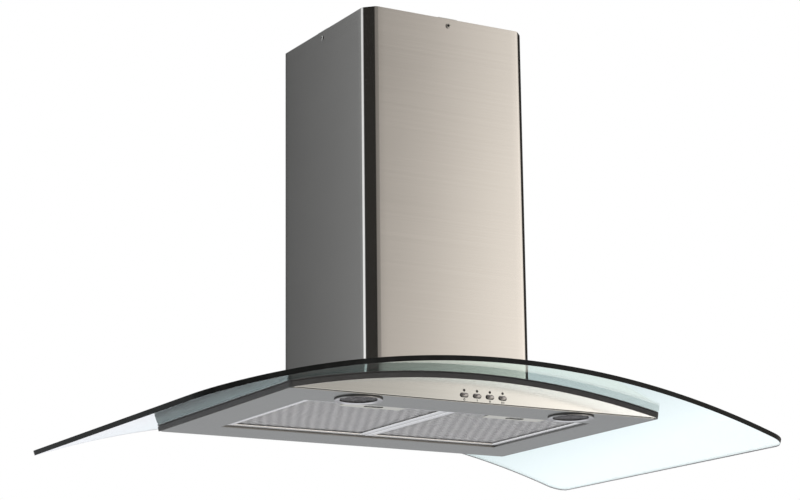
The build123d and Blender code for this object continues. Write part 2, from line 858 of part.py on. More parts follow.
def damper_flap(side):
    radius = duct_radius - duct_wall - flap_edge_gap
    sleeve = flap_pin_radius + touch_gap + flap_sleeve
    z_range = (flap_pin_z - flap_thickness / 2, flap_pin_z + flap_thickness / 2)
    flap = rod_z(radius, z_range) & block((-radius, radius), (sleeve + 2 * running_gap, radius), z_range)
    knuckles = 5
    span = 2 * (radius - flap_stop - flap_edge_gap - sleeve)
    length = (span - (knuckles - 1) * knuckle_gap) / knuckles
    first = 0 if side > 0 else 1
    for index in range(first, knuckles, 2):
        start = index * (length + knuckle_gap) - span / 2
        flap += rod_x(sleeve, (start, start + length), 0, flap_pin_z)
        flap += block((start, start + length), (0, 2 * sleeve), z_range)
    flap -= rod_x(flap_pin_radius + touch_gap, (-hood_height, hood_height), 0, flap_pin_z)
    if side < 0:
        flap = Rot(0, 0, 180) * flap
    return flap


def all_pieces():
    pieces = {
        "glass_canopy": glass_canopy(),
        "glass_seal": glass_seal(),
        "cutout_seal": cutout_seal(),
        "front_fascia": front_fascia(),
        "rear_fascia": rear_fascia(),
        "bottom_panel": bottom_panel(),
        "top_panel": top_panel(),
        "switch_block": switch_block(),
        "indicator_lenses": indicator_lenses(),
        "chimney_cover": chimney_cover(),
        "chimney_screws": chimney_screws(),
        "ceiling_frame": ceiling_frame(),
        "frame_bolts": frame_bolts(),
        "fan_box": fan_box(),
        "fan_box_screws": fan_box_screws(),
        "glass_clamp_front": glass_clamp(-1),
        "glass_clamp_rear": glass_clamp(1),
        "clamp_pads": clamp_pads(),
        "scroll_wrap": scroll_wrap(),
        "scroll_side_left": scroll_side(-1),
        "scroll_side_right": scroll_side(1),
        "outlet_deck": outlet_deck(),
        "impeller": impeller(),
        "motor_body": motor_body(),
        "motor_shaft": motor_shaft(),
        "motor_bracket": motor_bracket(),
        "motor_capacitor": motor_capacitor(),
        "terminal_box": terminal_box(),
        "cable_gland": cable_gland(),
        "outlet_collar": outlet_collar(),
        "damper_pin": damper_pin(),
        "damper_flap_front": damper_flap(-1),
        "damper_flap_rear": damper_flap(1),
    }
    corners = ["rear_right", "rear_left", "front_left", "front_right"]
    for turn, corner in enumerate(corners):
        pieces["lower_upright_" + corner] = lower_upright(90 * turn)
    for index, name in enumerate(["light", "low_speed", "mid_speed", "high_speed"]):
        pieces[name + "_button"] = push_button(index)
    for name, side in (("left", -1), ("right", 1)):
        pieces["lamp_bezel_" + name] = lamp_bezel(side)
        pieces["lamp_lens_" + name] = lamp_lens(side)
        pieces["lamp_reflector_" + name] = lamp_reflector(side)
        pieces["lamp_bulb_" + name] = lamp_bulb(side)
        pieces["filter_frame_" + name] = filter_frame(side)
        pieces["filter_mesh_" + name] = filter_mesh(side)
        pieces["filter_handle_" + name] = filter_handle(side)
        pieces["filter_latch_" + name] = filter_latch(side)
        pieces["latch_tongue_" + name] = latch_tongue(side)
    return pieces


os.makedirs("parts", exist_ok=True)
hang = Pos(0, 0, -hood_height)
for name, piece in all_pieces().items():
    if isinstance(piece, list):
        piece = Compound(children=[hang * solid for solid in piece])
    else:
        piece = hang * piece
    export_step(piece, os.path.join("parts", name + ".step"))
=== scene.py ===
import math
from itertools import groupby

import bmesh
import bpy
from mathutils import Matrix, Vector


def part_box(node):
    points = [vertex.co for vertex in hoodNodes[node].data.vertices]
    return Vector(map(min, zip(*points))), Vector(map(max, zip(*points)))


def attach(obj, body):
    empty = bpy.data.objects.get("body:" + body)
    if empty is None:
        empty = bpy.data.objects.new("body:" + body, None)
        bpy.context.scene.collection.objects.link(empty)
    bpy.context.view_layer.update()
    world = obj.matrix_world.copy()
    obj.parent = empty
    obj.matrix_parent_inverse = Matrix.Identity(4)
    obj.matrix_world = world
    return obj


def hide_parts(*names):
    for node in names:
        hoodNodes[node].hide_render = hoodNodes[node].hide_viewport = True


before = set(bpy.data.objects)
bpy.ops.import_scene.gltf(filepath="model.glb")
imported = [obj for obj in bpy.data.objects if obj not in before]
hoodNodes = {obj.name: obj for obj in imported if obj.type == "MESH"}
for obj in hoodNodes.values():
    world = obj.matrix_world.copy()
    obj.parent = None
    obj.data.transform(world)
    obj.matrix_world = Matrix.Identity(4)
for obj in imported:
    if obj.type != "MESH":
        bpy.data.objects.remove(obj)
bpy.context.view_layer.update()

scene = bpy.context.scene
scene.view_settings.view_transform = "Standard"
mm = 0.001


def turned(degrees, axis):
    return Matrix.Rotation(math.radians(degrees), 4, axis)


def moved(x=0.0, y=0.0, z=0.0):
    return Matrix.Translation((x, y, z))


def middleOf(node):
    low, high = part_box(node)
    return (low + high) / 2


def camelName(name):
    first, *others = name.split("_")
    return first + "".join(word.capitalize() for word in others)


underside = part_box("front_fascia")[0].z  # flat underside of the body
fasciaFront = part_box("front_fascia")[0].y
upright = turned(90, "X")  # stands a flat outline up, facing the front
print("frame loaded:", len(hoodNodes), "nodes")


# Node helpers

def emptyTree(block):
    block.use_nodes = True
    block.node_tree.nodes.clear()
    return block.node_tree


def newNode(tree, kind, inputs=None, **settings):
    # settings come first; then each input is linked to an output, or set to a plain value
    node = tree.nodes.new(kind)
    for label, value in settings.items():
        setattr(node, label, value)
    for label, value in (inputs or {}).items():
        socket = node.inputs[label]
        if isinstance(value, bpy.types.NodeSocket):
            tree.links.new(value, socket)
        elif socket.type == "RGBA":
            socket.default_value = (*value, 1.0)
        else:
            socket.default_value = value
    return node


def noiseNode(tree, vector, scale, detail=2.0, rough=0.55):
    inputs = {"Vector": vector, "Scale": scale, "Detail": detail, "Roughness": rough}
    return newNode(tree, "ShaderNodeTexNoise", inputs).outputs["Fac"]


def mathNode(tree, operation, first, second):
    return newNode(tree, "ShaderNodeMath", {0: first, 1: second}, operation=operation).outputs[0]


def vectorNode(tree, operation, first, second):
    inputs = {0: first, "Scale" if operation == "SCALE" else 1: second}
    return newNode(tree, "ShaderNodeVectorMath", inputs, operation=operation).outputs[0]


def rangeNode(tree, value, low, high, toLow=0.0, toHigh=1.0, smooth=False):
    inputs = {"Value": value, "From Min": low, "From Max": high, "To Min": toLow, "To Max": toHigh}
    easing = "SMOOTHSTEP" if smooth else "LINEAR"
    return newNode(tree, "ShaderNodeMapRange", inputs, interpolation_type=easing).outputs[0]


def mixNode(tree, factor, first, second):
    inputs = {0: factor, 6: first, 7: second}  # the colour sockets of this node
    return newNode(tree, "ShaderNodeMix", inputs, data_type="RGBA").outputs[2]


def shareNode(tree, first, second, share):
    # so much of the first, and the rest of the second
    return mathNode(tree, "ADD", mathNode(tree, "MULTIPLY", first, share),
                    mathNode(tree, "MULTIPLY", second, 1 - share))


# Shader groups shared by the finishes: each takes coordinates and a scale, and gives a tone and a height

def brushGrain(tree, coords, scale):
    # long fine scratches; the scale is scratches per metre along each axis
    stretched = vectorNode(tree, "MULTIPLY", coords, scale)
    broad = noiseNode(tree, stretched, 0.45)
    cloud = noiseNode(tree, coords, 7.0)
    tone = rangeNode(tree, shareNode(tree, broad, cloud, share=0.6), 0.3, 0.7)
    return tone, noiseNode(tree, stretched, 1.0)


def mouldGrain(tree, coords, scale):
    # fine even grain of moulded rubber and plastic
    scaled = vectorNode(tree, "SCALE", coords, scale)
    return noiseNode(tree, scaled, 0.04, detail=3.0), noiseNode(tree, scaled, 1.0)


def zincSpangle(tree, coords, scale):
    # frost pattern of hot-dip zinc
    cells = newNode(tree, "ShaderNodeTexVoronoi", {"Vector": coords, "Scale": scale}).outputs
    shade = newNode(tree, "ShaderNodeSeparateColor", {0: cells["Color"]}).outputs[0]
    cloud = noiseNode(tree, coords, 30.0, detail=3.0)
    return shareNode(tree, shade, cloud, share=0.6), cells["Distance"]


def handMarks(tree, coords, scale):
    # faint wiped patches on polished and clear surfaces
    scaled = vectorNode(tree, "SCALE", coords, scale)
    patches = noiseNode(tree, scaled, 1.0, detail=4.0, rough=0.6)
    return rangeNode(tree, patches, 0.4, 0.75, smooth=True), noiseNode(tree, scaled, 6.0)


crimpSet = {"lean": math.radians(26), "strands": (520.0, 130.0, 520.0)}  # strands per metre


def crimpBands(tree, coords, scale):
    # painted light and shade: leaning bands as stacked expanded sheets show them, mixed with a random speck
    lean = newNode(tree, "ShaderNodeMapping", {"Vector": coords, "Rotation": (0.0, 0.0, crimpSet["lean"])})
    inputs = {"Vector": lean.outputs[0], "Scale": scale, "Distortion": 0.7, "Detail": 1.0,
              "Detail Scale": 0.6}
    bands = newNode(tree, "ShaderNodeTexWave", inputs).outputs["Fac"]
    strands = vectorNode(tree, "MULTIPLY", coords, crimpSet["strands"])
    speck = rangeNode(tree, noiseNode(tree, strands, 1.0), 0.3, 0.7)
    return shareNode(tree, bands, speck, share=0.5), speck


def makeGroup(pattern):
    group = bpy.data.node_groups.new(pattern.__name__, "ShaderNodeTree")
    scaleKind = "Vector" if pattern is brushGrain else "Float"
    for label, side, kind in (("Coords", "INPUT", "Vector"), ("Scale", "INPUT", scaleKind),
                              ("Tone", "OUTPUT", "Float"), ("Height", "OUTPUT", "Float")):
        group.interface.new_socket(name=label, in_out=side, socket_type="NodeSocket" + kind)
    enter = newNode(group, "NodeGroupInput").outputs
    tone, height = pattern(group, enter["Coords"], enter["Scale"])
    newNode(group, "NodeGroupOutput", {"Tone": tone, "Height": height})
    return group


patterns = (brushGrain, mouldGrain, zincSpangle, handMarks, crimpBands)
groups = {pattern: makeGroup(pattern) for pattern in patterns}
print("shader groups:", len(groups))

alongX = (5.0, 5.0, 2600.0)  # grain across upright faces
alongFlat = (5.0, 2600.0, 5.0)  # grain along X on level faces
alongFrame = (900.0, 900.0, 60.0)
metal = {"Metallic": 1.0}

# Each finish: pattern and its scale, dark and light tone, roughness from and to,
# strength and depth (mm) of the relief, and plain shader values where it isn't plain metal
finishes = {
    "chimneySteel": (brushGrain, alongX, (0.545, 0.54, 0.53), (0.585, 0.58, 0.57),
        (0.14, 0.16), (0.02, 0.03), {"Metallic": 1.0, "Anisotropic": 1.0, "Anisotropic Rotation": 0.25}),
    "fasciaSteel": (brushGrain, alongX, (0.545, 0.563, 0.558), (0.58, 0.598, 0.593),
        (0.1, 0.13), (0.02, 0.03), {"Metallic": 1.0, "Anisotropic": 0.8, "Anisotropic Rotation": 0.25}),
    "undersideSteel": (brushGrain, alongFlat, (0.465, 0.47, 0.455), (0.505, 0.51, 0.495),
        (0.17, 0.21), (0.03, 0.04),
        {"Metallic": 1.0, "Anisotropic": 0.6, "Specular Tint": (0.67, 0.68, 0.67)}),
    # the bay's lip in a darker finish: painted shade
    "lipShade": (mouldGrain, 600.0, (0.24, 0.24, 0.235), (0.3, 0.3, 0.295), (0.35, 0.45), (0.05, 0.05)),
    "galvanised": (zincSpangle, 90.0, (0.42, 0.44, 0.45), (0.6, 0.62, 0.63), (0.32, 0.5), (0.08, 0.1)),
    "zincFastener": (mouldGrain, 900.0, (0.5, 0.5, 0.48), (0.66, 0.66, 0.64), (0.22, 0.36), (0.08, 0.05)),
    "screwNickel": (handMarks, 200.0, (0.46, 0.46, 0.45), (0.54, 0.54, 0.53), (0.07, 0.12), (0.02, 0.02)),
    "filterAluminium": (brushGrain, alongFrame, (0.88, 0.89, 0.89), (0.95, 0.96, 0.96),
        (0.2, 0.28), (0.03, 0.04)),
    # darker sides of the filter frames: painted shade, so the groove beside the trim looks dark
    "frameSide": (brushGrain, alongFrame, (0.34, 0.34, 0.33), (0.42, 0.42, 0.41), (0.3, 0.4), (0.03, 0.04)),
    "meshAluminium": (crimpBands, 23.0, (0.67, 0.67, 0.69), (0.93, 0.93, 0.945), (0.3, 0.42), (0.1, 0.05),
        {"Metallic": 0.35}),
    "meshCore": (crimpBands, 23.0, (0.47, 0.47, 0.485), (0.93, 0.93, 0.945), (0.45, 0.6), (0.6, 0.5),
        {"Metallic": 0.1}),
    "handleSatin": (brushGrain, (30.0, 2500.0, 30.0), (0.62, 0.615, 0.545),
        (0.7, 0.695, 0.62), (0.26, 0.34), (0.04, 0.05), {"Metallic": 0.9}),
    # also painted shade round and inside the handles' finger slots
    "latchPlastic": (mouldGrain, 1500.0, (0.03, 0.03, 0.02), (0.045, 0.045, 0.033),
        (0.38, 0.5), (0.1, 0.05), {"Specular IOR Level": 0.15}),
    "bezelChrome": (handMarks, 60.0, (0.34, 0.34, 0.34), (0.42, 0.42, 0.42), (0.04, 0.08), (0.01, 0.02)),
    "buttonChrome": (handMarks, 120.0, (0.27, 0.27, 0.27), (0.34, 0.34, 0.34), (0.03, 0.07), (0.01, 0.02)),
    # black plastic, and also painted shade in the screws' recesses and under their heads
    "indicatorBlack": (mouldGrain, 1500.0, (0.008, 0.008, 0.008), (0.018, 0.017, 0.017),
        (0.2, 0.3), (0.02, 0.02), {}),
    # also painted shade on the lamp bezels' outer walls
    "sealRubber": (mouldGrain, 1200.0, (0.046, 0.044, 0.045), (0.07, 0.067, 0.068),
        (0.42, 0.58), (0.12, 0.1), {}),
    "reflectorBright": (zincSpangle, 150.0, (0.05, 0.05, 0.05), (0.7, 0.7, 0.69), (0.05, 0.1), (0.6, 0.8)),
    "socketCeramic": (mouldGrain, 900.0, (0.72, 0.7, 0.64), (0.8, 0.78, 0.73), (0.5, 0.65), (0.1, 0.05), {}),
    "impellerPlastic": (mouldGrain, 900.0, (0.05, 0.05, 0.052), (0.08, 0.08, 0.082),
        (0.42, 0.55), (0.08, 0.05), {}),
    "motorPaint": (mouldGrain, 500.0, (0.07, 0.075, 0.08), (0.11, 0.115, 0.12), (0.35, 0.5), (0.15, 0.1), {}),
    "capacitorCan": (mouldGrain, 700.0, (0.62, 0.62, 0.6), (0.7, 0.7, 0.68), (0.35, 0.45), (0.05, 0.05), {}),
    "terminalPlastic": (mouldGrain, 900.0, (0.045, 0.045, 0.047), (0.07, 0.07, 0.072),
        (0.45, 0.58), (0.1, 0.05), {}),
    "ductPlastic": (mouldGrain, 700.0, (0.06, 0.06, 0.062), (0.09, 0.09, 0.092),
        (0.42, 0.55), (0.1, 0.06), {}),
    "springSteel": (brushGrain, (2000.0, 60.0, 60.0), (0.48, 0.47, 0.45), (0.6, 0.59, 0.57), (0.22, 0.32),
        (0.05, 0.03)),
    "glassEdge": (handMarks, 40.0, (0.004, 0.005, 0.005), (0.01, 0.011, 0.011), (0.16, 0.24), (0.02, 0.05),
        {"IOR": 1.5, "Specular IOR Level": 0.1}),
    "canopyGlass": (handMarks, 9.0, (0.855, 0.942, 0.94), (0.865, 0.952, 0.95), (0.0, 0.003), (0.0, 0.0),
        {"Transmission Weight": 1.0, "IOR": 1.5, "Specular IOR Level": 0.5}),
    # dark and uneven tint of the lens: painted shade for the unlit lamp behind it
    "lampGlass": (zincSpangle, 420.0, (0.12, 0.125, 0.12), (0.3, 0.31, 0.3), (0.02, 0.05), (0.05, 0.1),
        {"Transmission Weight": 1.0, "IOR": 1.06, "Specular IOR Level": 0.3}),
    "bulbGlass": (handMarks, 150.0, (0.93, 0.93, 0.93), (0.97, 0.97, 0.97), (0.0, 0.03), (0.0, 0.0),
        {"Transmission Weight": 1.0, "IOR": 1.45}),
}
brushAxis = {"chimneySteel": "Z", "fasciaSteel": "Z", "undersideSteel": "X"}  # axis the grain goes round
deepTone = {"canopyGlass": ((0.63, 0.82), (0.6, 0.935, 0.915))}  # a flatter look through glass is greener


def makeFinish(name, pattern, scale, dark, light, rough, relief, plain=metal):
    material = bpy.data.materials.new(name)
    tree = emptyTree(material)
    coords = newNode(tree, "ShaderNodeTexCoord").outputs["Object"]
    inputs = {"Coords": coords, "Scale": scale}
    look = newNode(tree, "ShaderNodeGroup", inputs, node_tree=groups[pattern]).outputs
    colour = mixNode(tree, look["Tone"], dark, light)
    if name in deepTone:
        edgeOn, deep = deepTone[name]
        facing = newNode(tree, "ShaderNodeLayerWeight").outputs["Facing"]
        colour = mixNode(tree, rangeNode(tree, facing, *edgeOn), colour, deep)
    inputs = {"Base Color": colour, "Roughness": rangeNode(tree, look["Tone"], 0.0, 1.0, *rough), **plain}
    strength, depth = relief
    if strength:
        bump = {"Strength": strength, "Distance": depth * mm, "Height": look["Height"]}
        inputs["Normal"] = newNode(tree, "ShaderNodeBump", bump).outputs[0]
    if name in brushAxis:
        tangent = newNode(tree, "ShaderNodeTangent", direction_type="RADIAL", axis=brushAxis[name])
        inputs["Tangent"] = tangent.outputs[0]
    shader = newNode(tree, "ShaderNodeBsdfPrincipled", inputs)
    newNode(tree, "ShaderNodeOutputMaterial", {0: shader.outputs[0]})
    return material


finish = {name: makeFinish(name, *look) for name, look in finishes.items()}
print("finishes:", len(finish))

# Finish of every node that keeps its own mesh: its slot's name, unless another is given here
slotFinish = {"body_steel": "fasciaSteel", "galvanised_steel": "galvanised", "fastener_zinc": "zincFastener",
              "indicator_plastic": "indicatorBlack", "reflector_aluminium": "reflectorBright",
              "filter_aluminium": "frameSide", "handle_plate": "handleSatin"}
for node in hoodNodes.values():
    for slot in node.material_slots:
        name = slot.material.name.split(".")[0]
        slot.link = "OBJECT"
        slot.material = finish[slotFinish.get(name, camelName(name))]
print("CAD nodes dressed")


# Mesh helpers

def arcPoints(start, sweep, steps):
    # points of a unit circle, from start and over the sweep, degrees
    turns = [math.radians(start + sweep * step / steps) for step in range(steps + 1)]
    return [(math.cos(turn), math.sin(turn)) for turn in turns]


def roundedRect(width, depth, corner, steps=6, centre=(0.0, 0.0)):
    points = []
    for turn, (sx, sy) in enumerate(((1, 1), (-1, 1), (-1, -1), (1, -1))):
        for x, y in arcPoints(90 * turn, 90, steps):
            points.append((centre[0] + sx * (width / 2 - corner) + corner * x,
                           centre[1] + sy * (depth / 2 - corner) + corner * y))
    return points


def stadium(width, height, centre, steps=12):
    points = []
    reach, radius = (width - height) / 2, height / 2
    for side in (1, -1):
        for x, y in arcPoints(-90 * side, 180, steps):
            points.append((centre[0] + side * reach + radius * x, centre[1] + radius * y))
    return points


def circle(radius, steps, centre=(0.0, 0.0)):
    return [(centre[0] + radius * x, centre[1] + radius * y) for x, y in arcPoints(0, 360, steps)[:-1]]


def skin(bm, loops, capStart=False, capEnd=False, closed=False):
    # quads between loops of equally many points; closed joins the last loop to the first
    rows = [[bm.verts.new(point) for point in loop] for loop in loops]
    count = len(rows[0])
    pairs = list(zip(rows, rows[1:])) + ([(rows[-1], rows[0])] if closed else [])
    for low, high in pairs:
        for i in range(count):
            j = (i + 1) % count
            bm.faces.new((low[i], low[j], high[j], high[i]))
    if capStart:
        bm.faces.new(list(reversed(rows[0])))
    if capEnd:
        bm.faces.new(rows[-1])


def lathe(bm, profile, centre, steps):
    skin(bm, [[(x, y, height) for x, y in circle(radius, steps, centre)] for radius, height in profile],
         closed=True)


def plate(bm, outlines, thickness, edge, place=Matrix()):
    # flat sheet with holes and rounded edges, drawn in XY about z = 0
    curve = bpy.data.curves.new("plateOutline", "CURVE")
    curve.dimensions = "2D"
    curve.fill_mode = "BOTH"
    curve.extrude = thickness / 2 - edge
    curve.bevel_depth = edge
    curve.bevel_resolution = 1
    curve.offset = -edge
    for outline in outlines:
        spline = curve.splines.new("POLY")
        spline.points.add(len(outline) - 1)
        for point, (x, y) in zip(spline.points, outline):
            point.co = (x, y, 0.0, 1.0)
        spline.use_cyclic_u = True
    holder = bpy.data.objects.new("plateOutline", curve)
    scene.collection.objects.link(holder)
    bpy.context.view_layer.update()
    mesh = bpy.data.meshes.new_from_object(holder.evaluated_get(bpy.context.evaluated_depsgraph_get()))
    mesh.transform(place)
    bm.from_mesh(mesh)
    bpy.data.objects.remove(holder)
    bpy.data.curves.remove(curve)
    bpy.data.meshes.remove(mesh)


def shadeFaces(bm, first, last=None):
    # second finish of the piece on a run of its faces
    bm.faces.ensure_lookup_table()
    for face in bm.faces[first:last]:
        face.material_index = 1


def keepFlat(piece):
    # broad faces keep their own direction beside small rounded edges
    weigh = piece.modifiers.new("keepFlat", "WEIGHTED_NORMAL")
    weigh.mode = "FACE_AREA"
    weigh.weight = 100
    weigh.keep_sharp = True


def roundEdges(piece, width, angle=50):
    bevel = piece.modifiers.new("roundEdges", "BEVEL")
    bevel.width = width
    bevel.segments = 2
    bevel.limit_method = "ANGLE"
    bevel.angle_limit = math.radians(angle)
    bevel.harden_normals = True


def addPiece(bm, name, body, slot, materials, replaced=None, sharp=32, flat=False):
    bmesh.ops.recalc_face_normals(bm, faces=bm.faces)
    mesh = bpy.data.meshes.new(name)
    bm.to_mesh(mesh)
    bm.free()
    for face in mesh.polygons:
        face.use_smooth = True
    mesh.set_sharp_from_angle(angle=math.radians(sharp))
    for material in materials:
        mesh.materials.append(finish[material])
    piece = bpy.data.objects.new(name, mesh)
    scene.collection.objects.link(piece)
    if flat:
        keepFlat(piece)
    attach(piece, body)
    if replaced:
        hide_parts(replaced)
    return piece


def standIn(bm, node, body, slot, materials, **edges):
    # a piece in the place of one node, and with its name
    return addPiece(bm, camelName(node), body, slot, materials, node, **edges)


# Glass canopy: one sheet bent to an arch, rounded corners, square cut-out under the chimney

glassSet = {"topRadius": 1355 * mm, "thickness": 7 * mm, "corner": 25 * mm, "cutout": 228 * mm,
            "cutoutCorner": 12 * mm, "cornerSteps": 9, "step": 10 * mm, "endMargin": 0.3 * mm,
            "closest": 0.1 * mm, "polish": 0.8 * mm}
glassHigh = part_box("glass_canopy")[1]
archAxis = glassHigh.z - glassSet["topRadius"]  # height of the arch's axis


def archHeight(x, radius):
    return archAxis + math.sqrt(radius ** 2 - x ** 2)


def roundedEnd(s, reach, half, corner):
    # half width at s of a plan that is half wide and turns in over its last corner radius
    into = abs(s) - (reach - corner)
    if into <= 0:
        return half
    return half - corner + math.sqrt(max(corner ** 2 - min(into, corner) ** 2, 0.0))


def glassColumns(reach, hole):
    # places along the arch: even steps, closer round the corners, and exact at both ends
    count = math.ceil(reach / glassSet["step"])
    places = {reach * i / count for i in range(count + 1)}
    for end, corner in ((reach, glassSet["corner"]), (hole, glassSet["cutoutCorner"])):
        places.update(end - corner + corner * y for x, y in arcPoints(0, 90, glassSet["cornerSteps"]))
    kept = []
    exact = (reach, hole)
    for place in sorted(places):
        if place in exact or all(abs(place - end) > glassSet["endMargin"] for end in exact):
            if not kept or place - kept[-1] > glassSet["closest"]:
                kept.append(place)
    return [-place for place in reversed(kept[1:])] + kept


def makeGlass():
    top = glassSet["topRadius"]
    under = top - glassSet["thickness"]
    reach = top * math.asin(glassHigh.x / top)  # along the arch
    hole = glassSet["cutout"] / 2
    columns = glassColumns(reach, hole)
    bm = bmesh.new()
    grid = []
    for s in columns:
        outer = roundedEnd(s, reach, glassHigh.y, glassSet["corner"])
        inner = roundedEnd(min(abs(s), hole), hole, hole, glassSet["cutoutCorner"])
        across, up = math.sin(s / top), math.cos(s / top)
        column = []
        for y in (-outer, -inner, inner, outer):
            pair = [(radius * across, y, archAxis + radius * up) for radius in (under, top)]
            column.append([bm.verts.new(point) for point in pair])
        grid.append(column)

    def wall(a, b):
        bm.faces.new((a[0], b[0], b[1], a[1])).material_index = 1

    last = len(columns) - 1
    for i in range(last):
        overHole = abs(columns[i] + columns[i + 1]) / 2 < hole
        for j in range(3):
            if j == 1 and overHole:
                continue
            for k in (0, 1):
                bm.faces.new((grid[i][j][k], grid[i + 1][j][k], grid[i + 1][j + 1][k], grid[i][j + 1][k]))
        for j in (0, 1, 2, 3) if overHole else (0, 3):
            wall(grid[i][j], grid[i + 1][j])
    for i in range(last + 1):
        atHole = abs(abs(columns[i]) - hole) < glassSet["endMargin"]
        for j in range(3):
            if i in (0, last) or (atHole and j == 1):
                wall(grid[i][j], grid[i][j + 1])
    piece = addPiece(bm, "canopyGlass", "hood", "canopy_glass", ("canopyGlass", "glassEdge"), "glass_canopy")
    roundEdges(piece, glassSet["polish"])


sealSet = {"height": 9 * mm, "width": 10 * mm, "corner": 6 * mm, "leastCorner": 0.4 * mm, "cornerSteps": 6,
           "groove": 1.6 * mm, "grooveRise": (6.4 * mm, 7.6 * mm), "lip": 0.3 * mm, "clear": 0.1 * mm,
           "sideSteps": 48}


def sealPath(reach, half, corner):
    # rounded rectangle with points along its long sides, so that it can follow the arch
    path = []
    run = reach - corner
    steps = sealSet["sideSteps"]
    for side in (1, -1):
        for y, start in ((corner - half, -90), (half - corner, 0)):
            for ax, ay in arcPoints(start, 90, sealSet["cornerSteps"])[:-1]:
                path.append((side * (run + corner * ax), side * (y + corner * ay)))
        path += [(side * run * (1 - 2 * step / steps), side * half) for step in range(steps)]
    return path


def makeSeal():
    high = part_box("glass_seal")[1]
    under = glassSet["topRadius"] - glassSet["thickness"]
    base = under - sealSet["height"]
    middle = (base + under) / 2
    reach = middle * math.asin(high.x / under)
    groove, lip, width = sealSet["groove"], sealSet["lip"], sealSet["width"]
    grooveLow, grooveHigh = sealSet["grooveRise"]
    head = sealSet["height"] - sealSet["clear"]
    section = ((0.0, 0.0), (0.0, grooveLow), (groove, grooveLow), (groove, grooveHigh), (lip, grooveHigh),
               (lip, head), (width, head), (width, 0.0))
    loops = []
    for inset, rise in section:
        path = sealPath(reach - inset, high.y - inset, max(sealSet["corner"] - inset, sealSet["leastCorner"]))
        radius = base + rise
        loops.append([(radius * math.sin(s / middle), y, archAxis + radius * math.cos(s / middle))
                      for s, y in path])
    bm = bmesh.new()
    skin(bm, loops, closed=True)
    standIn(bm, "glass_seal", "hood", "seal_rubber", ("sealRubber",))


makeGlass()
makeSeal()
print("glass canopy and seal done")

# Chimney: folded cover with chamfered corners, and its screws

chimneySet = {"sheet": 1 * mm, "chamfer": 14.6 * mm, "fold": 45, "bend": 7.5 * mm, "bendSteps": 6,
              "faceSteps": 24, "footGap": 0.3 * mm, "rim": 0.25 * mm}


def foldedOutline(half, leg, bend):
    # square with chamfered corners; every fold is an arc, and the long faces are split for the arched foot
    points = []
    tangent = bend * math.tan(math.radians(chimneySet["fold"] / 2))
    for turn in range(4):
        angle = math.radians(90 * turn)
        right = Vector((math.cos(angle), math.sin(angle)))
        ahead = Vector((-math.sin(angle), math.cos(angle)))
        slant = (ahead - right).normalized()
        first = right * half + ahead * (half - leg)  # where the face meets the chamfer
        second = right * (half - leg) + ahead * half  # where the chamfer meets the next face
        for corner, heading in ((first, ahead), (second, slant)):
            side = Vector((-heading.y, heading.x))
            middle = corner - heading * tangent + side * bend
            for ax, ay in arcPoints(0, chimneySet["fold"], chimneySet["bendSteps"]):
                points.append(middle - side * bend * ax + heading * bend * ay)
        begin = points[-1]
        faceEnd = ahead * half - right * (half - leg - tangent)
        steps = chimneySet["faceSteps"]
        points.extend(begin.lerp(faceEnd, step / steps) for step in range(1, steps))
    return points


def makeChimney():
    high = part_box("chimney_cover")[1]
    sheet = chimneySet["sheet"]
    innerLeg = chimneySet["chamfer"] - sheet * (2 - math.sqrt(2))
    outer = foldedOutline(high.x, chimneySet["chamfer"], chimneySet["bend"])
    inner = foldedOutline(high.x - sheet, innerLeg, chimneySet["bend"] - sheet)
    foot = glassSet["topRadius"] + chimneySet["footGap"]
    bm = bmesh.new()
    skin(bm, [
        [(p.x, p.y, archHeight(p.x, foot)) for p in outer],
        [(p.x, p.y, high.z) for p in outer],
        [(p.x, p.y, high.z) for p in inner],
        [(p.x, p.y, archHeight(p.x, foot)) for p in inner],
    ], closed=True)
    piece = standIn(bm, "chimney_cover", "hood", "chimney_steel", ("chimneySteel",), sharp=50)
    roundEdges(piece, chimneySet["rim"], angle=70)
    keepFlat(piece)


screwSet = {"head": 3.6 * mm, "height": 2.0 * mm, "crown": 0.8, "slotWidth": 0.75 * mm,
            "slotLength": 2.3 * mm, "slotDepth": 1.3 * mm, "darkRim": 0.98, "rings": 14, "steps": 64}


def inSlot(x, y):
    short, long = sorted((abs(x), abs(y)))
    return short < screwSet["slotWidth"] and long < screwSet["slotLength"]


def screwHeight(x, y):
    # crowned pan head with a cross recess
    radius = math.hypot(x, y) / screwSet["head"]
    height = screwSet["height"] * math.sqrt(max(1 - screwSet["crown"] * radius ** 2, 0.0))
    return height - screwSet["slotDepth"] if inSlot(x, y) else height


def makeScrews():
    head = screwSet["head"]
    steps = screwSet["steps"]
    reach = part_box("chimney_screws")[1].x - screwSet["height"]
    seat = moved(y=-reach, z=middleOf("chimney_screws").z) @ upright
    bm = bmesh.new()
    for turn in range(4):
        place = turned(90 * turn, "Z") @ seat
        loops = [[place @ Vector((x, y, 0.0)) for x, y in circle(head, steps)]]
        for ring in range(screwSet["rings"], 0, -1):
            points = circle(head * ring / screwSet["rings"], steps)
            loops.append([place @ Vector((x, y, screwHeight(x, y))) for x, y in points])
        done = len(bm.faces)
        skin(bm, loops, capEnd=True)
        bm.faces.ensure_lookup_table()
        back = place.inverted()
        for face in bm.faces[done:]:
            spot = back @ face.calc_center_median()
            if inSlot(spot.x, spot.y) or math.hypot(spot.x, spot.y) > screwSet["darkRim"] * head:
                face.material_index = 1  # painted shade in the recess and under the head
    standIn(bm, "chimney_screws", "hood", "fastener_zinc", ("screwNickel", "indicatorBlack"))


makeChimney()
makeScrews()
print("chimney done")

# Steel body: fascias with a shadow gap under them, and the flat underside with the filter bay

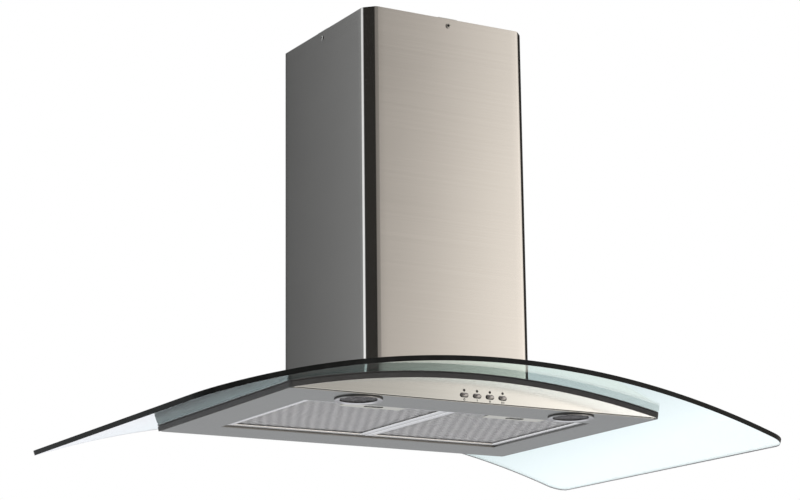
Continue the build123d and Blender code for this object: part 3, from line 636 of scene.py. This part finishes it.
bodySet = {"sheet": 1 * mm, "archRadius": 1339 * mm, "arcSteps": 60, "tipInset": 1.2 * mm,
           "leastTip": 0.5 * mm, "corner": 6 * mm, "edge": 0.35 * mm, "shadowGap": 1.1 * mm,
           "setBack": 2.2 * mm, "bay": (450 * mm, 250 * mm), "lip": 4 * mm, "lipBend": 0.8 * mm,
           "bendSteps": 6, "lampRim": 3 * mm, "lampSteps": 64}
buttonSet = {"width": 12 * mm, "height": 4.9 * mm, "gap": 0.35 * mm, "dotGap": 0.05 * mm, "dotSteps": 24}
buttonNodes = ("light_button", "low_speed_button", "mid_speed_button", "high_speed_button")


def fasciaOutline():
    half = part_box("front_fascia")[1].x - bodySet["tipInset"]
    steps = bodySet["arcSteps"]
    gap = bodySet["shadowGap"]
    outline = [(-half, gap), (half, gap)]
    for step in range(steps + 1):
        x = half - 2 * half * step / steps
        height = archHeight(x, bodySet["archRadius"]) - underside
        if height > gap + bodySet["leastTip"]:
            outline.append((x, height))
    return outline


def buttonCentre(node):
    middle = middleOf(node)
    return (middle.x, middle.z - underside)


def makeFascias():
    holes = []
    dotLow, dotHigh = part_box("indicator_lenses")
    dotRadius = (dotHigh.z - dotLow.z) / 2 + buttonSet["dotGap"]
    dotLevel = middleOf("indicator_lenses").z - underside
    gap = 2 * buttonSet["gap"]
    for node in buttonNodes:
        centre = buttonCentre(node)
        holes.append(stadium(buttonSet["width"] + gap, buttonSet["height"] + gap, centre))
        holes.append(circle(dotRadius, buttonSet["dotSteps"], (centre[0], dotLevel)))
    for node, cuts in (("front_fascia", holes), ("rear_fascia", [])):
        place = moved(y=middleOf(node).y, z=underside) @ upright
        bm = bmesh.new()
        plate(bm, [fasciaOutline()] + cuts, bodySet["sheet"], bodySet["edge"], place)
        standIn(bm, node, "hood", "body_steel", ("fasciaSteel",), sharp=50, flat=True)


def makeUnderside():
    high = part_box("bottom_panel")[1]
    inset = 2 * bodySet["setBack"]
    sheet, edge, bend, lip = (bodySet[key] for key in ("sheet", "edge", "lipBend", "lip"))
    bayX, bayY = bodySet["bay"]
    outlines = [roundedRect(2 * high.x - inset, 2 * high.y - inset, bodySet["corner"]),
                roundedRect(bayX + 2 * bend, bayY + 2 * bend, 2 * bend)]
    for node in ("lamp_bezel_left", "lamp_bezel_right"):
        lampLow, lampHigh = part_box(node)
        outlines.append(circle((lampHigh.x - lampLow.x) / 2 - bodySet["lampRim"], bodySet["lampSteps"],
                               middleOf(node).xy))
    bm = bmesh.new()
    plate(bm, outlines, sheet, edge / 2, moved(z=underside + sheet / 2))
    # rolled lip round the bay: a quarter bend, then upright
    profile = [(bend + edge, 0.0)]
    profile += [(bend - bend * y, bend - bend * x) for x, y in arcPoints(0, 90, bodySet["bendSteps"])]
    profile += [(0.0, lip), (sheet, lip), (sheet, bend + sheet), (bend + edge, sheet)]
    loops = []
    for out, rise in profile:
        outline = roundedRect(bayX + 2 * out, bayY + 2 * out, bend + out)
        loops.append([(x, y, underside + rise) for x, y in outline])
    panelFaces = len(bm.faces)
    skin(bm, loops, closed=True)
    # the lip takes the darker second finish: painted shade at the bay's edge
    shadeFaces(bm, panelFaces)
    addPiece(bm, "undersidePanel", "hood", "body_steel", ("undersideSteel", "lipShade"), "bottom_panel",
             sharp=50, flat=True)


makeFascias()
makeUnderside()
print("steel body done")

# Push buttons, their marks and the indicator dots

domeSet = {"foot": 4.5 * mm, "rise": 3.0 * mm, "skirt": 1.3 * mm, "rings": 10, "tip": 0.02}
dotSet = {"flange": 1.8 * mm, "flangeRise": 0.25 * mm, "crown": 0.35 * mm, "rings": 5, "tip": 0.05 * mm,
          "seat": 0.02 * mm}
markSet = {"drop": 5.8 * mm, "height": 3.2 * mm, "stroke": 0.9 * mm, "pitch": 1.9 * mm, "print": 0.06 * mm,
           "sunk": 0.25, "edge": 0.01 * mm, "corner": 0.2 * mm, "cornerSteps": 3}


def makeButtons():
    for node in buttonNodes:
        cx, cz = buttonCentre(node)
        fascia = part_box(node)[0].y + domeSet["rise"]
        rim = stadium(buttonSet["width"], buttonSet["height"], (cx, cz))
        loops = [[(x, fascia + domeSet["foot"], underside + z) for x, z in rim]]
        for share, climb in arcPoints(0, 90, domeSet["rings"]):  # quarter ellipse from rim to crown
            share = max(share, domeSet["tip"])
            lift = domeSet["skirt"] + (domeSet["rise"] - domeSet["skirt"]) * climb
            loops.append([(cx + (x - cx) * share, fascia - lift, underside + cz + (z - cz) * share)
                          for x, z in rim])
        bm = bmesh.new()
        skin(bm, loops, capStart=True, capEnd=True)
        shadeFaces(bm, 0, len(rim))  # dark skirt under the chrome cap
        key = node.replace("button", "key")
        standIn(bm, node, key, "button_chrome", ("buttonChrome", "indicatorBlack"), sharp=60)


def makeDots():
    # domed lens with a thin flange on the fascia
    low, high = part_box("indicator_lenses")
    level = middleOf("indicator_lenses").z
    radius = (high.z - low.z) / 2
    flange = dotSet["flange"]
    seat = fasciaFront - dotSet["seat"]
    profile = [(radius, high.y), (radius, seat), (flange, seat)]
    for share, climb in arcPoints(0, 90, dotSet["rings"]):
        lift = dotSet["flangeRise"] + (dotSet["crown"] - dotSet["flangeRise"]) * climb
        profile.append((max(flange * share, dotSet["tip"]), fasciaFront - lift))
    bm = bmesh.new()
    for node in buttonNodes:
        middle = buttonCentre(node)[0]
        loops = [[(middle + x, y, level + z) for x, z in circle(r, buttonSet["dotSteps"])]
                 for r, y in profile]
        skin(bm, loops, capStart=True, capEnd=True)
    standIn(bm, "indicator_lenses", "hood", "indicator_plastic", ("indicatorBlack",))


def makeMarks():
    # a ring for the lamp, then one, two and three bars for the speeds
    stroke, height, thickness, edge = (markSet[key] for key in ("stroke", "height", "print", "edge"))
    place = moved(y=fasciaFront - thickness * (0.5 - markSet["sunk"]), z=underside) @ upright
    bm = bmesh.new()
    for count, node in enumerate(buttonNodes):
        x, z = buttonCentre(node)
        level = z - markSet["drop"]
        if count == 0:
            radii = (height / 2, height / 2 - stroke)
            rings = [circle(radius, buttonSet["dotSteps"], (x, level)) for radius in radii]
            plate(bm, rings, thickness, edge, place)
        for bar in range(count):
            at = x + (bar - (count - 1) / 2) * markSet["pitch"]
            outline = roundedRect(stroke, height, markSet["corner"], markSet["cornerSteps"], (at, level))
            plate(bm, [outline], thickness, edge, place)
    addPiece(bm, "buttonMarks", "hood", "indicator_plastic", ("indicatorBlack",))


makeButtons()
makeDots()
makeMarks()
print("buttons done")

# Lamps: chrome bezel, moulded lens, capsule bulb in its socket

lensSet = {"window": 25 * mm, "lip": 0.4 * mm, "reach": 0.985, "crown": 0.45 * mm, "prisms": 5,
           "prismSteps": 6, "prismRise": 0.3 * mm, "tip": 0.2 * mm, "steps": 72}
bezelSet = {"rim": 1.0 * mm, "roll": (10, 100, 10), "drop": 1.5 * mm,
            "slope": ((2.2 * mm, 2.0 * mm), (0.6 * mm, 1.62 * mm)),
            "neck": 28 * mm, "neckWall": 1.2 * mm, "neckRise": 4 * mm, "steps": 96}
bulbSet = {"radius": 3.6 * mm, "length": 17 * mm, "foot": (0.8, 0.5 * mm), "dome": (20, 60, 3), "steps": 32,
           "socket": (13 * mm, 11 * mm, 8 * mm), "socketCorner": 1.2 * mm, "socketEdge": 0.5 * mm}


def makeBezel(side, centre):
    # from the seat round the rolled rim, down the slope to the window, and up the neck
    node = "lamp_bezel_" + side
    low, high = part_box(node)
    outer = (high.x - low.x) / 2
    rim, drop, neck, wall, rise = (bezelSet[key] for key in ("rim", "drop", "neck", "neckWall", "neckRise"))
    window, lip = lensSet["window"], lensSet["lip"]
    profile = [(outer, 0.0), (outer, -drop)]
    profile += [(outer - rim + rim * x, -drop - rim * y) for x, y in arcPoints(*bezelSet["roll"])]
    profile += [(window + out, -down) for out, down in bezelSet["slope"]]
    profile += [(window, -drop), (window, -lip)]
    profile += [(neck - wall, -lip), (neck - wall, rise), (neck, rise), (neck, 0.0)]
    bm = bmesh.new()
    lathe(bm, [(radius, underside + height) for radius, height in profile], centre, bezelSet["steps"])
    shadeFaces(bm, 0, bezelSet["steps"])  # painted shade: a dark band of seal rubber on the outer wall, between rim and panel
    standIn(bm, node, "hood", "bezel_chrome", ("bezelChrome", "sealRubber"), sharp=50)


def makeLens(side, centre):
    # crowned outside, with rings of low prisms
    node = "lamp_lens_" + side
    low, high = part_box(node)
    radius = (high.x - low.x) / 2
    seat = underside - lensSet["lip"]
    window, tip = lensSet["window"], lensSet["tip"]
    perPrism = lensSet["prismSteps"]
    count = perPrism * lensSet["prisms"]
    profile = [(tip, high.z), (radius, high.z), (radius, seat)]
    for step in range(count + 1):
        r = max(window * lensSet["reach"] * (1 - step / count), tip)
        swell = lensSet["crown"] * (1 - (r / window) ** 2)
        prism = lensSet["prismRise"] * (0.5 - 0.5 * math.cos(2 * math.pi * step / perPrism))
        profile.append((r, seat - swell - prism))
    bm = bmesh.new()
    lathe(bm, profile, centre, lensSet["steps"])
    standIn(bm, node, "hood", "lamp_glass", ("lampGlass",))


def makeBulb(side, centre):
    # glass capsule lying along X, and the ceramic socket at its foot
    node = "lamp_bulb_" + side
    low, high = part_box(node)
    level = middleOf(node).z
    r, length = bulbSet["radius"], bulbSet["length"]
    footShare, footLength = bulbSet["foot"]
    turn = moved(high.x - length, centre.y, level) @ turned(90, "Y")
    profile = [(r * footShare, 0.0), (r, footLength), (r, length - r)]
    profile += [(r * x, length - r + r * y) for x, y in arcPoints(*bulbSet["dome"])]
    bm = bmesh.new()
    loops = [[turn @ Vector((x, y, z)) for x, y in circle(radius, bulbSet["steps"])] for radius, z in profile]
    skin(bm, loops, capStart=True, capEnd=True)
    addPiece(bm, camelName("lamp_capsule_" + side), "hood", "bulb_glass", ("bulbGlass",), node)
    width, depth, height = bulbSet["socket"]
    place = moved(low.x + width / 2, centre.y, level)
    bm = bmesh.new()
    plate(bm, [roundedRect(width, depth, bulbSet["socketCorner"])], height, bulbSet["socketEdge"], place)
    addPiece(bm, camelName("lamp_socket_" + side), "hood", "terminal_plastic", ("socketCeramic",),
             sharp=50, flat=True)


for side in ("left", "right"):
    lampCentre = middleOf("lamp_bezel_" + side).xy
    makeBezel(side, lampCentre)
    makeLens(side, lampCentre)
    makeBulb(side, lampCentre)
print("lamps done")

# Grease filters: mitred frame, expanded mesh over a dense core, handle plate with its finger slot

frameSet = {"width": 10.4 * mm, "inset": 0.7 * mm, "sheet": 1.6 * mm, "edge": 0.7 * mm, "wall": 0.8 * mm}
meshSet = {"cell": (6.4 * mm, 3.7 * mm), "firstRow": 0.75, "strand": (1.05 * mm, 0.4 * mm), "tilt": 28,
           "layerRise": (1.4 * mm, 3.0 * mm), "margin": 1.2 * mm, "wave": 0.6 * mm, "wavePitch": 10.5 * mm,
           "waveLean": -0.42, "waveWander": 4 * mm, "wanderPitch": 28 * mm, "pocket": (38 * mm, 27.5 * mm),
           "coreSheet": 1.6 * mm, "coreEdge": 0.3 * mm}
handleSet = {"plate": (92 * mm, 24 * mm), "corner": 4 * mm, "sheet": 1 * mm, "edge": 0.35 * mm,
             "slot": (28 * mm, 11 * mm), "slotShade": 0.2 * mm, "guide": (36 * mm, 30.8 * mm),
             "guideEnds": (6 * mm, 3 * mm), "guideSheet": 0.8 * mm}


def makeFrameTrim(side, left, right, front, rear):
    # four mitred strips
    def corners(inset):
        return [(left + inset, front + inset), (right - inset, front + inset),
                (right - inset, rear - inset), (left + inset, rear - inset)]

    outer = corners(frameSet["inset"])
    inner = corners(frameSet["inset"] + frameSet["width"])
    place = moved(z=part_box("filter_frame_" + side)[0].z)
    bm = bmesh.new()
    for i in range(4):
        j = (i + 1) % 4
        plate(bm, [[outer[i], outer[j], inner[j], inner[i]]], frameSet["sheet"], frameSet["edge"], place)
    addPiece(bm, camelName("filter_trim_" + side), side + "_filter", "filter_aluminium", ("filterAluminium",),
             sharp=50, flat=True)


def meshWave(x, y):
    # crimp of the expanded sheets, in leaning and slightly wandering ridges
    wander = meshSet["waveWander"] * math.sin(y / meshSet["wanderPitch"]) + meshSet["waveLean"] * y
    return meshSet["wave"] * math.sin(2 * math.pi * (x + wander) / meshSet["wavePitch"])


def strandCorners():
    # corners of a strand about its middle, its flat turned by the tilt
    width, thick = meshSet["strand"]
    tilt = math.radians(meshSet["tilt"])
    flat = Vector((0, math.cos(tilt), math.sin(tilt))) * width / 2
    up = Vector((0, -math.sin(tilt), math.cos(tilt))) * thick / 2
    return (flat + up, up - flat, -flat - up, flat - up)


def makeMesh(side, left, right, front):
    node = "filter_mesh_" + side
    low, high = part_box(node)
    centreX = (left + right) / 2
    pocketX, pocketY = meshSet["pocket"]
    pocketLeft, pocketRight, pocketRear = centreX - pocketX / 2, centreX + pocketX / 2, front + pocketY
    cellX, cellY = meshSet["cell"]
    margin = meshSet["margin"]

    def inPocket(point):
        return abs(point[0] - centreX) < pocketX / 2 and point[1] < pocketRear

    startX, startY = low.x + margin, low.y + margin
    rows = int((high.y - margin - startY) / cellY)
    steps = int((high.x - margin - startX) / (cellX / 2))
    corners = strandCorners()
    bm = bmesh.new()
    for layer, rise in enumerate(meshSet["layerRise"]):
        level = low.z + rise
        for row in range(rows):
            rowY = startY + cellY * (row + meshSet["firstRow"])
            points = []
            for step in range(steps + 1):
                swing = ((step + row + layer) % 2 - 0.5) * cellY
                points.append((startX + step * cellX / 2, rowY + swing))
            for hidden, run in groupby(points, inPocket):  # zigzag strands end at the handle's pocket
                if not hidden:
                    middles = [Vector((x, y, level + meshWave(x, y))) for x, y in run]
                    skin(bm, [[middle + corner for corner in corners] for middle in middles])
    standIn(bm, node, side + "_filter", "mesh_aluminium", ("meshAluminium",), sharp=30)
    notched = [(low.x, high.y), (low.x, low.y), (pocketLeft, low.y), (pocketLeft, pocketRear),
               (pocketRight, pocketRear), (pocketRight, low.y), (high.x, low.y), (high.x, high.y)]
    core = meshSet["coreSheet"]
    bm = bmesh.new()
    plate(bm, [notched], core, meshSet["coreEdge"], moved(z=high.z - core / 2))
    addPiece(bm, camelName("filter_core_" + side), side + "_filter", "mesh_aluminium", ("meshCore",),
             sharp=50, flat=True)


def makeHandle(side):
    node = "filter_handle_" + side
    low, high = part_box(node)
    middle = middleOf(node)
    width, depth = handleSet["plate"]
    slotWidth, slotDepth = handleSet["slot"]
    sheet, shade = handleSet["sheet"], handleSet["slotShade"]
    outlines = [roundedRect(width, depth, handleSet["corner"], centre=middle),
                stadium(slotWidth, slotDepth, middle)]
    bm = bmesh.new()
    plate(bm, outlines, sheet, handleSet["edge"], moved(z=low.z + sheet / 2))
    for face in bm.faces:  # painted shade round and inside the finger slot, in the latch plastic finish
        off = face.calc_center_median() - middle
        if abs(off.x) < slotWidth / 2 + shade and abs(off.y) < slotDepth / 2 + shade:
            face.material_index = 1
    # guide channel over the slide, open towards the filter's front
    outer, inner = (span / 2 for span in handleSet["guide"])
    front, rear = handleSet["guideEnds"]
    base, roof = low.z + sheet, high.z - handleSet["guideSheet"]
    guide = [(-outer, base), (-outer, high.z), (outer, high.z), (outer, base),
             (inner, base), (inner, roof), (-inner, roof), (-inner, base)]
    skin(bm, [[(middle.x + x, y, z) for x, z in guide] for y in (low.y + front, high.y - rear)],
         capStart=True, capEnd=True)
    standIn(bm, node, side + "_filter", "handle_plate", ("handleSatin", "latchPlastic"), sharp=50, flat=True)


for side in ("left", "right"):
    frameLow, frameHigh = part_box("filter_frame_" + side)
    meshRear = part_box("filter_mesh_" + side)[1].y + frameSet["wall"]
    makeFrameTrim(side, frameLow.x, frameHigh.x, frameLow.y, meshRear)
    makeMesh(side, frameLow.x, frameHigh.x, frameLow.y)
    makeHandle(side)
print("filters done")

# Studio: pale floor, soft lamps, and a wheel of light that the metal reflects

studioSet = {
    "floorDrop": 1650 * mm, "floorRadius": 4.0, "floorSteps": 96, "floorTone": (0.8, 0.8, 0.79),
    "floorRough": 0.7,
    # brightness seen in the metal, by degrees round from the front, right positive
    "wheel": ((-180, 0.8), (-170, 0.5), (-162, 0.05), (-157, 0.04), (-153.6, 0.1), (-152.4, 0.13),
              (-150.8, 0.34), (-148.5, 0.4), (-145, 1.6), (-92, 1.6), (-83, 0.3), (-76, 0.045), (-53, 0.045),
              (-48, 0.38), (-10, 0.43), (14, 0.46), (28, 0.5), (29.8, 0.62), (31.3, 0.92), (33.2, 1.7),
              (36, 1.9), (95, 1.5), (106, 0.3), (112, 0.03), (126, 0.03), (138, 0.5), (146, 0.95), (172, 1.0),
              (180, 0.8)),
    "fade": (0.215, 0.35, 0.63),  # heights that the wheel fades between, and its share above
    # share of the floor's and ceiling's brightness, round the same way
    "shade": ((-180, 1.0), (-108, 1.0), (-94, 0.6), (-76, 0.55), (-70, 0.12), (-52, 0.12), (-47, 0.5),
              (-6, 0.6), (12, 0.8), (24, 1.0), (34, 2.3), (37, 3.0), (46, 1.0), (95, 0.9), (106, 0.6),
              (112, 0.3), (126, 0.3), (134, 1.0), (142, 1.28), (165, 1.28), (180, 1.0)),
    # gain of the wheel's lowest band, which the fascia shows
    "lowGain": ((18, 1.0), (25, 1.4), (29.4, 1.3), (31.4, 1.08), (33, 0.9), (33.8, 0.92), (34.8, 1.1),
                (36, 1.16), (38, 1.0)),
    "lowBand": (0.172, 0.195),
    # brightness of the floor by the steepness of the look down, and of the ceiling
    "floor": ((-1.0, 0.3), (-0.75, 0.7), (-0.6, 0.95), (-0.44, 0.97), (-0.34, 0.535), (0.0, 0.43)),
    "horizon": (-0.05, 0.03), "ceiling": (0.45, 0.85), "overhead": 0.8, "ambient": 0.62,
    # tints round the wheel: dim fields, from skyFrom on, in the warm sector, and elsewhere
    "dim": (1.0, 0.92, 0.8), "dimBelow": 0.05, "sky": (0.96, 0.96, 1.0), "skyFrom": 138,
    "warm": (1.0, 0.92, 0.83), "warmSector": (-50, 110), "cool": (0.99, 1.0, 1.0),
    "glassGain": 1.32, "glassWarmth": (1.06, 0.93, 0.98),
    "lamps": (("keyLamp", (2.0, -2.4, 1.0), 1.8, 28.0), ("fillLamp", (-2.8, -0.5, -0.8), 1.6, 30.0),
              ("rearLamp", (0.6, 2.8, 0.9), 1.6, 20.0), ("topLamp", (0.0, -0.2, 2.2), 1.6, 22.0)),
    "aim": (0.0, 0.0, -0.4),
}
cameraSet = {"place": (-1.5954, -2.7213, -1.0579), "azimuth": 30.282, "elevation": 13.377, "roll": -0.677,
             "lens": 102.41, "sensor": 36.0}


def tintAt(place, level):
    low, high = studioSet["warmSector"]
    if level < studioSet["dimBelow"]:
        return studioSet["dim"]
    if place > studioSet["skyFrom"]:
        return studioSet["sky"]
    return studioSet["warm" if low <= place <= high else "cool"]


def rampNode(tree, factor, stops, span=(-180, 180), tinted=False):
    # a ramp's levels end at 1, so they are divided by their peak and scaled up again
    node = newNode(tree, "ShaderNodeValToRGB", {0: factor})
    elements = node.color_ramp.elements
    low, high = span
    peak = max(level for place, level in stops)
    for i, (place, level) in enumerate(stops):
        stop = elements[i] if i < 2 else elements.new(1.0)  # a new ramp has two stops
        tint = tintAt(place, level) if tinted else (1.0, 1.0, 1.0)
        stop.position = (place - low) / (high - low)
        stop.color = (*(level / peak * part for part in tint), 1.0)
    return vectorNode(tree, "SCALE", node.outputs[0], peak)


def makeWorld():
    world = bpy.data.worlds.new("studio")
    scene.world = world
    tree = emptyTree(world)
    ray = newNode(tree, "ShaderNodeTexCoord").outputs["Generated"]
    x, y, z = newNode(tree, "ShaderNodeSeparateXYZ", {0: ray}).outputs
    around = mathNode(tree, "ARCTAN2", x, mathNode(tree, "MULTIPLY", y, -1.0))
    around = rangeNode(tree, around, -math.pi, math.pi)

    def between(heights):
        return rangeNode(tree, z, *heights, smooth=True)

    low, high, least = studioSet["fade"]
    wheel = rampNode(tree, around, studioSet["wheel"], tinted=True)
    wheel = vectorNode(tree, "SCALE", wheel, rangeNode(tree, z, low, high, 1.0, least))
    gain = rampNode(tree, around, studioSet["lowGain"])
    wheel = mixNode(tree, between(studioSet["lowBand"]), vectorNode(tree, "MULTIPLY", wheel, gain), wheel)
    shade = rampNode(tree, around, studioSet["shade"], tinted=True)
    below = (-1.0, 0.0)  # from straight down to level
    floorLevel = rampNode(tree, rangeNode(tree, z, *below), studioSet["floor"], below)
    floorTone = vectorNode(tree, "SCALE", shade, floorLevel)
    seen = mixNode(tree, between(studioSet["horizon"]), floorTone, wheel)
    above = vectorNode(tree, "MINIMUM", shade, (1.0, 1.0, 1.0))  # no glare from above
    above = vectorNode(tree, "SCALE", above, studioSet["overhead"])
    seen = mixNode(tree, between(studioSet["ceiling"]), seen, above)
    path = newNode(tree, "ShaderNodeLightPath").outputs
    onceOrMore = 0.5  # depths are whole numbers
    # metal seen in or through the glass keeps its brightness
    behind = mathNode(tree, "GREATER_THAN", path["Transmission Depth"], onceOrMore)
    seen = vectorNode(tree, "SCALE", seen, rangeNode(tree, behind, 0.0, 1.0, 1.0, studioSet["glassGain"]))
    warmed = vectorNode(tree, "MULTIPLY", seen, studioSet["glassWarmth"])
    seen = mixNode(tree, path["Is Transmission Ray"], seen, warmed)
    mirrored = mathNode(tree, "GREATER_THAN", path["Glossy Depth"], onceOrMore)
    mirrored = mathNode(tree, "MAXIMUM", path["Is Glossy Ray"], mirrored)
    light = mixNode(tree, mirrored, (studioSet["ambient"],) * 3, seen)
    # glass shows white behind it, but what metal mirrors through glass stays the wheel
    direct = mathNode(tree, "LESS_THAN", path["Glossy Depth"], onceOrMore)
    through = mathNode(tree, "MULTIPLY", path["Is Transmission Ray"], direct)
    white = mathNode(tree, "MAXIMUM", path["Is Camera Ray"], through)
    colour = mixNode(tree, white, light, (1.0, 1.0, 1.0))
    ground = newNode(tree, "ShaderNodeBackground", {"Color": colour})
    newNode(tree, "ShaderNodeOutputWorld", {0: ground.outputs[0]})


def makeFloor():
    mesh = bpy.data.meshes.new("floor")
    bm = bmesh.new()
    bmesh.ops.create_circle(bm, cap_ends=True, segments=studioSet["floorSteps"],
                            radius=studioSet["floorRadius"])
    bm.to_mesh(mesh)
    bm.free()
    floor = bpy.data.objects.new("floor", mesh)
    floor.location.z = underside - studioSet["floorDrop"]
    scene.collection.objects.link(floor)
    material = bpy.data.materials.new("paleFloor")
    tree = emptyTree(material)
    inputs = {"Base Color": studioSet["floorTone"], "Roughness": studioSet["floorRough"]}
    shader = newNode(tree, "ShaderNodeBsdfPrincipled", inputs)
    clear = newNode(tree, "ShaderNodeBsdfTransparent")
    below = newNode(tree, "ShaderNodeNewGeometry").outputs["Backfacing"]  # seen through from below
    mix = newNode(tree, "ShaderNodeMixShader", {0: below, 1: shader.outputs[0], 2: clear.outputs[0]})
    newNode(tree, "ShaderNodeOutputMaterial", {0: mix.outputs[0]})
    mesh.materials.append(material)
    floor.visible_glossy = False  # metal and glass show the wheel instead
    floor.visible_transmission = False


def makeLights():
    aim = Vector(studioSet["aim"])
    for name, place, size, power in studioSet["lamps"]:
        lamp = bpy.data.lights.new(name, "AREA")
        lamp.size = size
        lamp.energy = power
        holder = bpy.data.objects.new(name, lamp)
        holder.location = place
        holder.rotation_mode = "QUATERNION"
        holder.rotation_quaternion = (aim - Vector(place)).to_track_quat("-Z", "Y")
        for ray in ("glossy", "camera", "transmission"):  # metal shows the wheel, and glass no lamp
            setattr(holder, "visible_" + ray, False)
        scene.collection.objects.link(holder)


def makeCamera():
    camera = bpy.data.objects.new("camera", bpy.data.cameras.new("camera"))
    camera.data.lens = cameraSet["lens"]
    camera.data.sensor_width = cameraSet["sensor"]
    aimed = turned(-cameraSet["azimuth"], "Z") @ turned(90 + cameraSet["elevation"], "X")
    camera.matrix_world = moved(*cameraSet["place"]) @ aimed @ turned(cameraSet["roll"], "Z")
    scene.collection.objects.link(camera)
    scene.camera = camera


makeWorld()
makeFloor()
makeLights()
makeCamera()
print("studio done")
